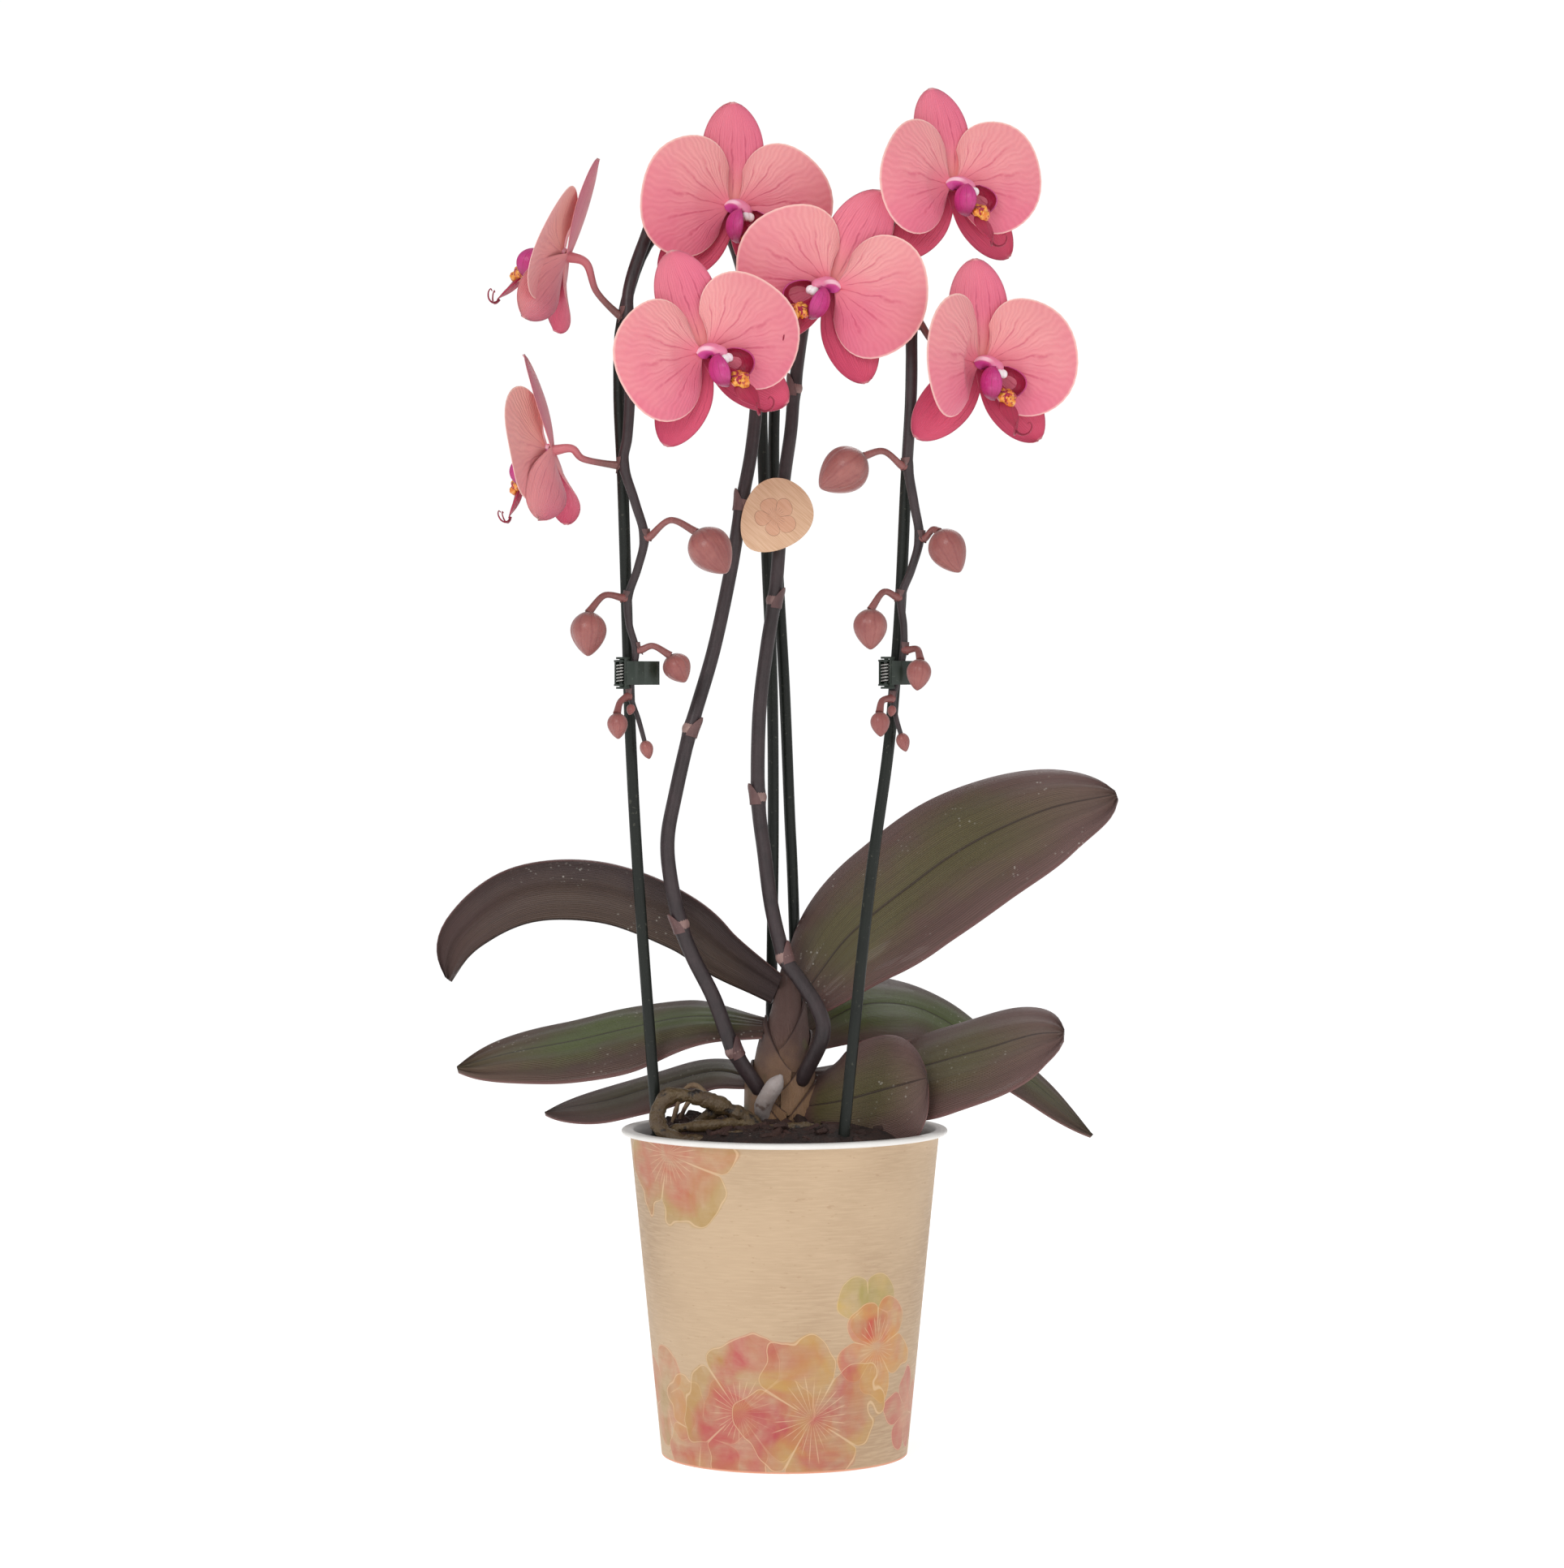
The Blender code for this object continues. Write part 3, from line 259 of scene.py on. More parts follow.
def make_bloom():
    """One printed flower: Fill inside its petals, Line for outlines and stamens, Shade outward."""
    group, given, out = new_group(
        "bloom",
        "ShaderNodeTree",
        {
            "Spot": ("Vector", None),
            "Centre": ("Vector", None),
            "Size": ("Float", 20.0),
            "Turn": ("Float", 0.0),
            "Petals": ("Float", 5.0),
            "Stamens": ("Float", 1.0),
        },
        {"Fill": "Float", "Line": "Float", "Shade": "Float"},
    )
    away = add(
        group, "ShaderNodeVectorMath", {0: given["Spot"], 1: given["Centre"]}, operation="SUBTRACT"
    ).outputs[0]
    wobble = clouds(group, stretched(group, given["Spot"], (0.06, 0.06, 0.06)), 1.0, 1.0)
    part = add(group, "ShaderNodeSeparateXYZ", {"Vector": away})
    angle = calc(group, "ARCTAN2", part.outputs["Y"], part.outputs["X"])
    angle = calc(group, "ADD", angle, given["Turn"])
    length = add(group, "ShaderNodeVectorMath", {0: away}, operation="LENGTH").outputs["Value"]
    reach = calc(group, "DIVIDE", length, given["Size"])
    reach = calc(group, "MULTIPLY_ADD", calc(group, "SUBTRACT", wobble, 0.5), 0.75, reach)
    lobes = calc(group, "ABSOLUTE", calc(group, "SINE", calc(group, "MULTIPLY", angle, calc(
        group, "MULTIPLY", given["Petals"], 0.5))))
    edge = calc(group, "MULTIPLY_ADD", calc(group, "POWER", lobes, 0.45), 0.42, 0.58)
    inside = calc(group, "SUBTRACT", edge, reach)
    group.links.new(step_up(group, inside, 0.0, 0.03), out["Fill"])
    share = calc(group, "DIVIDE", reach, edge)
    group.links.new(share, out["Shade"])
    outline = step_up(group, calc(group, "ABSOLUTE", calc(group, "SUBTRACT", inside, 0.030)), 0.012, 0.004)
    fold = step_up(group, lobes, 0.07, 0.02)
    fold = calc(group, "MULTIPLY", fold, step_up(group, share, 0.30, 0.45))
    comb = calc(group, "ABSOLUTE", calc(group, "SINE", calc(group, "MULTIPLY", angle, 13.0)))
    comb = calc(group, "MULTIPLY", step_up(group, comb, 0.25, 0.08), step_up(group, share, 0.50, 0.36))
    comb = calc(group, "MULTIPLY", comb, given["Stamens"])
    inner = calc(group, "MULTIPLY", calc(group, "MAXIMUM", fold, comb), step_up(group, inside, 0.0, 0.02))
    group.links.new(calc(group, "MAXIMUM", outline, inner, clamp=True), out["Line"])
    return group


MOTTLE = make_mottle()
VEINS = make_veins()
DUST = make_dust()
BLOOM = make_bloom()


# ---------------------------------------------------------------- finishes


def finish(name, roughness, constants=None):
    """A new material: itself, its tree, its shader, and the sockets for place and own map."""
    made = bpy.data.materials.new(name)
    made.use_nodes = True
    tree = made.node_tree
    shader = tree.nodes["Principled BSDF"]
    shader.inputs["Roughness"].default_value = roughness
    for label, value in (constants or {}).items():
        shader.inputs[label].default_value = value
    place = tree.nodes.new("ShaderNodeTexCoord").outputs
    return made, tree, shader, place["Object"], place["UV"]


def paint(tree, shader, colour, roughness=None):
    tree.links.new(colour, shader.inputs["Base Color"])
    if roughness is not None:
        tree.links.new(roughness, shader.inputs["Roughness"])


def relief(tree, shader, height, depth, strength=1.0):
    values = {"Height": height, "Distance": depth, "Strength": strength}
    bump = add(tree, "ShaderNodeBump", values)
    tree.links.new(bump.outputs["Normal"], shader.inputs["Normal"])


def blade_map(tree, own):
    """Across, -1 to 1, and along, 0 to 1, in a blade's own map."""
    part = add(tree, "ShaderNodeSeparateXYZ", {"Vector": own})
    return calc(tree, "MULTIPLY_ADD", part.outputs["X"], 2.0, -1.0), part.outputs["Y"]


def make_petal(name, upper, lower, vein, rim, vein_strength, count, seed, deep=None):
    """Petal skin: two tones from the upper to the lower half, veins, fine ribs and a pale rim."""
    made, tree, shader, where, own = finish(
        name, 0.5, {"Subsurface Weight": 0.12, "Subsurface Radius": (0.9, 0.35, 0.3),
                    "Subsurface Scale": 0.0012, "Sheen Weight": 0.15, "Specular IOR Level": 0.35},
    )
    across, along = blade_map(tree, own)
    mottle = use(tree, MOTTLE, Where=where, Patch=42.0, Grain=1500.0)
    veins = use(tree, VEINS, Across=across, Along=along, Count=count, Seed=seed)
    level = calc(tree, "MULTIPLY_ADD", mottle["Tone"], 0.30, across)
    colour = tint(tree, step_up(tree, level, 0.75, -0.75), upper, lower)
    if deep:
        colour = tint(tree, step_up(tree, along, 0.50, 0.02), colour, deep)
    ribs = calc(tree, "MULTIPLY", veins["Ribs"], step_up(tree, along, 0.1, 0.6))
    colour = glaze(tree, ribs, 0.13, colour, vein)
    colour = glaze(tree, veins["Veins"], vein_strength, colour, vein)
    side = calc(tree, "ABSOLUTE", across)
    edge = calc(tree, "MAXIMUM", step_up(tree, along, 0.968, 0.996), step_up(tree, side, 0.975, 1.0))
    colour = glaze(tree, edge, 0.60, colour, rim)
    paint(tree, shader, colour, calc(tree, "MULTIPLY_ADD", mottle["Grain"], 0.25, 0.36))
    height = calc(tree, "MULTIPLY_ADD", veins["Veins"], -0.6, calc(tree, "MULTIPLY", ribs, 0.5))
    relief(tree, shader, calc(tree, "MULTIPLY_ADD", mottle["Grain"], 0.4, height), 0.00016)
    return made


def make_column_skin():
    """Pink over the top with a pale line down each side, magenta below."""
    made, tree, shader, where, own = finish(
        "column", 0.38, {"Subsurface Weight": 0.1, "Subsurface Scale": 0.001}
    )
    around, along = blade_map(tree, own)
    mottle = use(tree, MOTTLE, Where=where, Patch=120.0, Grain=2500.0)
    turn = calc(tree, "ABSOLUTE", around)  # 0 on top, 1 underneath
    colour = tint(tree, step_up(tree, turn, 0.25, 0.6), rgb(232, 130, 164), rgb(200, 64, 146))
    pale = calc(tree, "MULTIPLY", mottle["Tone"], 0.25, clamp=True)
    colour = tint(tree, pale, colour, rgb(236, 150, 190))
    line = step_up(tree, calc(tree, "ABSOLUTE", calc(tree, "SUBTRACT", turn, 0.34)), 0.16, 0.06)
    line = calc(tree, "MULTIPLY", line, step_up(tree, along, 0.85, 0.4))
    colour = glaze(tree, line, 0.90, colour, rgb(252, 212, 226))
    paint(tree, shader, colour)
    relief(tree, shader, mottle["Grain"], 0.00008)
    return made


def make_cap_skin():
    made, tree, shader, where, _ = finish("pollen_cap", 0.35, {"Coat Weight": 0.3})
    mottle = use(tree, MOTTLE, Where=where, Patch=260.0, Grain=3000.0)
    share = calc(tree, "MULTIPLY_ADD", mottle["Tone"], 0.4, 0.15, clamp=True)
    paint(tree, shader, tint(tree, share, rgb(252, 242, 244), rgb(228, 170, 205)))
    relief(tree, shader, mottle["Grain"], 0.00006)
    return made


def make_lobe_skin(name, base, dark, pale, gloss):
    """Skin of the lip: streaked along its veins, darker toward the foot."""
    made, tree, shader, where, own = finish(
        name, gloss, {"Subsurface Weight": 0.08, "Subsurface Scale": 0.0008, "Coat Weight": 0.12}
    )
    across, along = blade_map(tree, own)
    mottle = use(tree, MOTTLE, Where=where, Patch=150.0, Grain=2600.0)
    veins = use(tree, VEINS, Across=across, Along=along, Count=7.0, Width=0.5, End=1.1, Seed=4.0)
    colour = tint(tree, step_up(tree, along, 0.55, 0.0), base, dark)
    colour = glaze(tree, veins["Veins"], 0.55, colour, dark)
    colour = glaze(tree, step_up(tree, mottle["Tone"], 0.1, 0.9), 0.30, colour, pale)
    paint(tree, shader, colour)
    relief(tree, shader, calc(tree, "MULTIPLY_ADD", veins["Ribs"], 0.5, mottle["Grain"]), 0.00010)
    return made


def make_callus_skin():
    """Waxy yellow and orange, spotted with red."""
    made, tree, shader, where, _ = finish(
        "callus", 0.3, {"Coat Weight": 0.4, "Subsurface Weight": 0.1, "Subsurface Scale": 0.0006}
    )
    cells = add(tree, "ShaderNodeTexVoronoi", {"Vector": where, "Scale": 900.0})
    spots = step_up(tree, cells.outputs["Distance"], 0.46, 0.30)
    patch = clouds(tree, where, 420.0, 2.0)
    colour = tint(tree, step_up(tree, patch, 0.35, 0.65), rgb(226, 122, 34), rgb(238, 168, 70))
    spots = calc(tree, "MULTIPLY", spots, step_up(tree, clouds(tree, where, 300.0, 1.0), 0.34, 0.50))
    paint(tree, shader, glaze(tree, spots, 0.9, colour, rgb(165, 28, 40)))
    relief(tree, shader, patch, 0.0003)
    return made


def make_bud_skin():
    """Taut bud skin: dull brick red, browner where it meets the stalk, darker along its veins."""
    made, tree, shader, where, own = finish("bud", 0.42, {"Coat Weight": 0.15, "Subsurface Weight": 0.06,
                                                          "Subsurface Scale": 0.001, "Sheen Weight": 0.2})
    around, along = blade_map(tree, own)
    mottle = use(tree, MOTTLE, Where=where, Patch=75.0, Grain=1600.0)
    veins = use(tree, VEINS, Across=around, Along=along, Count=9.0, Width=0.5, Start=-0.1, End=1.3,
                Seed=2.0)
    tone = calc(tree, "MULTIPLY_ADD", mottle["Tone"], 0.45, 0.45, clamp=True)
    colour = tint(tree, tone, rgb(132, 64, 62), rgb(170, 104, 96))
    colour = tint(tree, step_up(tree, along, 0.30, 0.02), colour, rgb(112, 68, 60))
    colour = glaze(tree, veins["Veins"], 0.40, colour, rgb(122, 44, 50))
    paint(tree, shader, colour, calc(tree, "MULTIPLY_ADD", mottle["Grain"], 0.22, 0.32))
    height = calc(tree, "MULTIPLY_ADD", veins["Veins"], -0.5, mottle["Grain"])
    relief(tree, shader, height, 0.00014)
    return made


def make_stem_skin(name, dark, pale, gloss, share_pale=None, streak=0.5):
    """Stem skin: fine lengthwise streaks and blotches. Share pale colours the far end."""
    made, tree, shader, where, _ = finish(name, gloss, {"Coat Weight": 0.1})
    mottle = use(tree, MOTTLE, Where=where, Patch=90.0, Grain=1800.0)
    fibre = clouds(tree, stretched(tree, where, (900.0, 900.0, 60.0)), 1.0, 3.0)
    streaks = calc(tree, "MULTIPLY", fibre, streak)
    tone = calc(tree, "MULTIPLY_ADD", mottle["Tone"], 0.35, streaks, clamp=True)
    colour = tint(tree, tone, dark, pale)
    if share_pale:
        share = add(tree, "ShaderNodeAttribute", attribute_name="share").outputs["Fac"]
        colour = tint(tree, step_up(tree, share, 0.15, 0.85), colour, share_pale)
    paint(tree, shader, colour, calc(tree, "MULTIPLY_ADD", mottle["Grain"], 0.3, gloss - 0.12))
    relief(tree, shader, calc(tree, "MULTIPLY_ADD", fibre, 0.8, mottle["Grain"]), 0.00012)
    return made


def make_leaf_skin(name, centre, margin, tip, vein, dusty, gloss):
    """Leaf skin: one colour down the middle, one toward the margins, one at the tip, and veins."""
    made, tree, shader, where, own = finish(name, gloss, {"Coat Weight": 0.08, "Specular IOR Level": 0.4})
    across, along = blade_map(tree, own)
    mottle = use(tree, MOTTLE, Where=where, Patch=24.0, Grain=1400.0)
    veins = use(tree, VEINS, Across=across, Along=along, Count=15.0, Width=0.35, Wander=0.03,
                Start=-0.2, End=1.5, Seed=1.0)
    side = calc(tree, "ABSOLUTE", across)
    level = calc(tree, "MULTIPLY_ADD", mottle["Tone"], 0.42, side)
    colour = tint(tree, step_up(tree, level, 0.10, 0.92), centre, margin)
    colour = tint(tree, step_up(tree, along, 0.16, 0.0), colour, margin)
    colour = glaze(tree, step_up(tree, along, 0.60, 1.0), 0.75, colour, tip)
    colour = glaze(tree, veins["Veins"], 0.30, colour, vein)
    colour = glaze(tree, veins["Ribs"], 0.10, colour, margin)
    spine = step_up(tree, side, 0.035, 0.008)
    colour = glaze(tree, spine, 0.75, colour, vein)
    edge = step_up(tree, side, 0.955, 0.99)
    colour = glaze(tree, edge, 0.6, colour, rgb(112, 72, 70))
    specks = use(tree, DUST, Where=where, Pitch=420.0, Amount=dusty)["Specks"]
    colour = glaze(tree, specks, 0.7, colour, rgb(205, 200, 190))
    rough = calc(tree, "MULTIPLY_ADD", mottle["Grain"], 0.24, gloss - 0.10)
    paint(tree, shader, colour, calc(tree, "MULTIPLY_ADD", specks, 0.3, rough))
    height = calc(tree, "MULTIPLY_ADD", veins["Ribs"], 0.8, calc(tree, "MULTIPLY", mottle["Grain"], 0.6))
    height = calc(tree, "MULTIPLY_ADD", spine, -1.5, height)
    relief(tree, shader, height, 0.00022)
    return made


def make_sheath_skin():
    """Leaf bases: tan and olive at the foot, maroon brown above, with a dark dry edge."""
    made, tree, shader, where, own = finish("sheath", 0.45, {"Coat Weight": 0.08})
    across, along = blade_map(tree, own)
    mottle = use(tree, MOTTLE, Where=where, Patch=55.0, Grain=1500.0)
    veins = use(tree, VEINS, Across=across, Along=along, Count=22.0, Width=0.5, Wander=0.04,
                Start=-0.2, End=1.5, Seed=7.0)
    height = add(tree, "ShaderNodeSeparateXYZ", {"Vector": where}).outputs["Z"]
    level = calc(tree, "MULTIPLY_ADD", mottle["Tone"], 0.010, height)
    colour = tint(tree, step_up(tree, level, 0.138, 0.170), rgb(158, 122, 90), rgb(100, 73, 66))
    colour = tint(tree, step_up(tree, mottle["Tone"], 0.2, 0.8), colour, rgb(104, 96, 60))
    colour = glaze(tree, veins["Ribs"], 0.25, colour, rgb(84, 60, 56))
    edge = step_up(tree, along, 0.93, 0.99)
    colour = glaze(tree, edge, 0.8, colour, rgb(58, 38, 36))
    paint(tree, shader, colour, calc(tree, "MULTIPLY_ADD", mottle["Grain"], 0.3, 0.32))
    relief(tree, shader, calc(tree, "MULTIPLY_ADD", veins["Ribs"], 0.8, mottle["Grain"]), 0.0002)
    return made


def make_root_skin(name, base, other, dark, gloss, depth):
    """Corky root skin, blotched and pitted."""
    made, tree, shader, where, _ = finish(name, gloss)
    mottle = use(tree, MOTTLE, Where=where, Patch=110.0, Grain=900.0)
    pits = add(tree, "ShaderNodeTexVoronoi", {"Vector": where, "Scale": 420.0}).outputs["Distance"]
    colour = tint(tree, calc(tree, "MULTIPLY_ADD", mottle["Tone"], 0.6, 0.4, clamp=True), base, other)
    colour = tint(tree, step_up(tree, clouds(tree, where, 240.0, 3.0), 0.56, 0.70), colour, dark)
    specks = use(tree, DUST, Where=where, Pitch=600.0, Amount=0.16)["Specks"]
    colour = glaze(tree, specks, 0.6, colour, rgb(210, 200, 180))
    paint(tree, shader, colour, calc(tree, "MULTIPLY_ADD", mottle["Grain"], 0.35, gloss - 0.15))
    relief(tree, shader, calc(tree, "MULTIPLY_ADD", pits, 0.5, mottle["Grain"]), depth)
    return made


def make_bark_skin(name, chips):
    """Composted bark: nearly black, with reddish pieces, fibres and white grit."""
    made, tree, shader, where, _ = finish(name, 0.75)
    mottle = use(tree, MOTTLE, Where=where, Patch=130.0, Grain=1100.0)
    fibre = clouds(tree, stretched(tree, where, (300.0, 1100.0, 1100.0)), 1.0, 4.0)
    tone = calc(tree, "MULTIPLY_ADD", mottle["Tone"], 0.4, calc(tree, "MULTIPLY", fibre, 0.5), clamp=True)
    colour = tint(tree, tone, rgb(22, 13, 11), rgb(74, 46, 36))
    if chips:
        own_tone = add(tree, "ShaderNodeAttribute", attribute_name="tone").outputs["Fac"]
        colour = glaze(tree, own_tone, 0.45, colour, rgb(84, 50, 42))
    specks = use(tree, DUST, Where=where, Pitch=700.0, Amount=0.14)["Specks"]
    paint(tree, shader, tint(tree, specks, colour, rgb(214, 206, 196)),
          calc(tree, "MULTIPLY_ADD", mottle["Grain"], 0.5, 0.5))
    relief(tree, shader, calc(tree, "ADD", fibre, mottle["Grain"]), 0.0006)
    return made


PRINT_RADIUS_MM = 55.0
# Each printed flower: degrees round from the front, height, size, turn, petals, stamens, two colours.
BLOOMS = [
    (-48, 124, 31, 0.3, 4, 1, (188, 106, 84), (176, 142, 84)),
    (36, 66, 15, 0.4, 3, 0, (160, 146, 78), (196, 164, 96)),
    (42, 48, 21, 0.9, 5, 1, (194, 78, 70), (204, 150, 84)),
    (-66, 26, 21, 1.2, 4, 0, (166, 136, 86), (198, 122, 96)),
    (68, 20, 17, 0.2, 5, 0, (210, 152, 128), (190, 112, 100)),
    (-40, 14, 26, 0.2, 4, 0, (186, 98, 84), (194, 148, 92)),
    (-20, 24, 31, 0.9, 4, 1, (186, 84, 84), (178, 140, 84)),
    (12, 22, 33, 2.1, 4, 1, (178, 78, 80), (190, 146, 84)),
    (118, 30, 27, 1.4, 5, 1, (192, 104, 84), (206, 158, 96)),
    (150, 108, 24, 0.5, 5, 1, (184, 92, 88), (206, 150, 92)),
    (-150, 36, 29, 2.4, 5, 1, (196, 112, 86), (184, 146, 84)),
    (-108, 58, 20, 1.1, 5, 1, (190, 88, 80), (206, 140, 90)),
]


def make_print():
    """The pot's paper sleeve: kraft paper with watercolour flowers in it, outlined in cream."""
    made, tree, shader, where, _ = finish("printed_paper", 0.55, {"Specular IOR Level": 0.35})
    part = add(tree, "ShaderNodeSeparateXYZ", {"Vector": where})
    front = calc(tree, "MULTIPLY", part.outputs["Y"], -1.0)
    arc = calc(tree, "MULTIPLY", calc(tree, "ARCTAN2", part.outputs["X"], front), PRINT_RADIUS_MM)
    height = calc(tree, "MULTIPLY", part.outputs["Z"], 1000.0)
    spot = add(tree, "ShaderNodeCombineXYZ", {"X": arc, "Y": height}).outputs[0]
    wash = clouds(tree, where, 38.0, 3.0, 0.8)
    fine = clouds(tree, where, 260.0, 4.0)
    fibre = clouds(tree, stretched(tree, where, (120.0, 120.0, 1500.0)), 1.0, 4.0)
    shade = clouds(tree, where, 14.0, 2.0)
    blotch = clouds(tree, where, 70.0, 3.0, 1.2)
    colour = tint(tree, step_up(tree, shade, 0.3, 0.7), rgb(198, 171, 140), rgb(175, 147, 118))
    colour = glaze(tree, step_up(tree, fibre, 0.35, 0.75), 0.55, colour, rgb(207, 181, 149))
    flecks = clouds(tree, stretched(tree, where, (260.0, 260.0, 900.0)), 1.0, 2.0)
    colour = glaze(tree, step_up(tree, flecks, 0.66, 0.74), 0.3, colour, rgb(160, 122, 92))
    for degrees, up, size, turn, petals, stamens, first, second in BLOOMS:
        centre = (math.radians(degrees) * PRINT_RADIUS_MM, up, 0)
        bloom = use(tree, BLOOM, Spot=spot, Centre=centre, Size=float(size), Turn=float(turn),
                    Petals=float(petals), Stamens=float(stamens))
        mix = calc(tree, "MULTIPLY_ADD", wash, 3.4, calc(tree, "MULTIPLY_ADD", bloom["Shade"], 0.8, -1.7),
                   clamp=True)
        ink = tint(tree, mix, rgb(*first), rgb(*second))
        strength = calc(tree, "MULTIPLY_ADD", fine, 0.40, calc(tree, "MULTIPLY_ADD", blotch, 1.5, -0.35))
        strength = calc(tree, "MULTIPLY", bloom["Fill"], strength, clamp=True)
        colour = tint(tree, strength, colour, ink)
        colour = glaze(tree, bloom["Line"], 0.55, colour, rgb(224, 194, 158))
    foot = step_up(tree, height, 1.3, 0.7)
    colour = tint(tree, foot, colour, rgb(226, 160, 132))
    paint(tree, shader, colour, calc(tree, "MULTIPLY_ADD", fine, 0.2, 0.45))
    relief(tree, shader, calc(tree, "MULTIPLY_ADD", fibre, 0.7, fine), 0.00008)
    return made


def make_smooth_finish(name, base, other, gloss, depth=0.00005, constants=None, scuff=None):
    """A moulded, painted or drawn surface with slight unevenness and a little wear."""
    made, tree, shader, where, _ = finish(name, gloss, constants)
    mottle = use(tree, MOTTLE, Where=where, Patch=95.0, Grain=1300.0)
    colour = tint(tree, calc(tree, "MULTIPLY_ADD", mottle["Tone"], 0.4, 0.4, clamp=True), base, other)
    if scuff:
        worn = step_up(tree, clouds(tree, where, 600.0, 4.0), 0.64, 0.72)
        colour = glaze(tree, worn, 0.5, colour, scuff)
    paint(tree, shader, colour, calc(tree, "MULTIPLY_ADD", mottle["Grain"], 0.30, gloss - 0.12))
    relief(tree, shader, mottle["Grain"], depth)
    return made


def make_card_skin():
    """Wood-grained card with one small printed flower."""
    made, tree, shader, _, own = finish("card", 0.6)
    grain = clouds(tree, stretched(tree, own, (3.0, 60.0, 1.0)), 1.0, 4.0, 0.4)
    colour = tint(tree, step_up(tree, grain, 0.3, 0.75), rgb(228, 190, 158), rgb(210, 166, 130))
    spot = stretched(tree, own, (31.5, 31.5, 1.0), (-15.7, -15.7, 0))
    bloom = use(tree, BLOOM, Spot=spot, Centre=(0.0, 0.0, 0.0), Size=8.5, Turn=0.4, Petals=5.0, Stamens=1.0)
    colour = glaze(tree, bloom["Fill"], 0.35, colour, rgb(206, 128, 104))
    colour = glaze(tree, bloom["Line"], 0.8, colour, rgb(120, 78, 62))
    paint(tree, shader, colour)
    relief(tree, shader, grain, 0.0001)
    return made


PETAL = make_petal("petal_front", rgb(234, 158, 157), rgb(220, 109, 134), rgb(192, 60, 96),
                   rgb(250, 216, 202), 0.58, 9.0, 1.3, rgb(228, 120, 138))
PETAL_BACK = make_petal("petal_back", rgb(238, 172, 160), rgb(228, 140, 146), rgb(190, 90, 110),
                        rgb(250, 214, 200), 0.40, 8.0, 3.1)
DORSAL = make_petal("upper_sepal_front", rgb(229, 124, 142), rgb(222, 110, 136), rgb(176, 50, 88),
                    rgb(248, 200, 194), 0.55, 7.0, 5.2, rgb(240, 152, 152))
LATERAL = make_petal("lower_sepal_front", rgb(212, 80, 110), rgb(196, 62, 96), rgb(150, 30, 66),
                     rgb(240, 176, 178), 0.45, 7.0, 8.4, rgb(176, 44, 78))
SEPAL_BACK = make_petal("sepal_back", rgb(226, 146, 148), rgb(206, 114, 132), rgb(160, 70, 96),
                        rgb(236, 190, 180), 0.35, 7.0, 2.6)
COLUMN = make_column_skin()
CAP = make_cap_skin()
LOBE_OUTER = make_lobe_skin("lip_outer", rgb(196, 48, 128), rgb(150, 26, 84), rgb(226, 116, 178), 0.40)
LOBE_INNER = make_lobe_skin("lip_inner", rgb(178, 32, 72), rgb(140, 18, 50), rgb(206, 66, 100), 0.36)
CALLUS = make_callus_skin()
BUD = make_bud_skin()
SPIKE = make_stem_skin("spike", rgb(38, 28, 30), rgb(72, 55, 58), 0.48)
STALK = make_stem_skin("flower_stalk", rgb(104, 64, 60), rgb(140, 88, 84), 0.42, rgb(206, 116, 124))
BUD_STALK = make_stem_skin("bud_stalk", rgb(122, 70, 66), rgb(164, 100, 98), 0.40)
NODE_RING = make_stem_skin("node_ring", rgb(112, 84, 82), rgb(196, 160, 150), 0.55)
BRACT = make_stem_skin("bract", rgb(84, 58, 58), rgb(132, 94, 90), 0.5)
LEAF_TOP = make_leaf_skin("leaf_upper_face", rgb(86, 98, 46), rgb(88, 66, 58), rgb(114, 92, 78),
                          rgb(54, 44, 34), 0.20, 0.42)
LEAF_BROWN = make_leaf_skin("leaf_brown_face", rgb(92, 84, 52), rgb(96, 70, 64), rgb(120, 92, 88),
                            rgb(56, 42, 38), 0.20, 0.42)
LEAF_PURPLE = make_leaf_skin("leaf_purple_face", rgb(78, 60, 50), rgb(62, 46, 45), rgb(86, 64, 60),
                             rgb(40, 30, 30), 0.16, 0.44)
LEAF_UNDER = make_leaf_skin("leaf_under_face", rgb(136, 108, 98), rgb(100, 70, 70), rgb(112, 82, 78),
                            rgb(80, 54, 54), 0.08, 0.50)
SHEATH = make_sheath_skin()
ROOT = make_root_skin("root", rgb(98, 80, 50), rgb(68, 48, 36), rgb(28, 20, 16), 0.38, 0.0008)
ROOT_TIP = make_root_skin("root_tip", rgb(176, 166, 164), rgb(150, 136, 130), rgb(116, 98, 92), 0.5, 0.0003)
DRY_ROOT = make_root_skin("dry_root", rgb(156, 132, 104), rgb(118, 92, 70), rgb(80, 58, 44), 0.75, 0.0005)
BARK = make_bark_skin("bark", False)
CHIP = make_bark_skin("bark_chip", True)
PRINTED = make_print()
POT_WHITE = make_smooth_finish("pot_white", rgb(240, 238, 234), rgb(228, 225, 220), 0.38)
HOOP = make_smooth_finish("hoop_green", rgb(15, 20, 16), rgb(27, 32, 26), 0.42, 0.00006,
                          {"Coat Weight": 0.05, "Specular IOR Level": 0.3}, rgb(80, 80, 70))
PLASTIC = make_smooth_finish("clip_plastic", rgb(20, 32, 24), rgb(34, 48, 36), 0.38, 0.00005,
                             {"Coat Weight": 0.15}, rgb(74, 84, 72))
STEEL = make_smooth_finish("spring_steel", rgb(176, 176, 172), rgb(142, 140, 136), 0.28, 0.00002,
                           {"Metallic": 1.0})
CARD = make_card_skin()


# ---------------------------------------------------------------- meshes


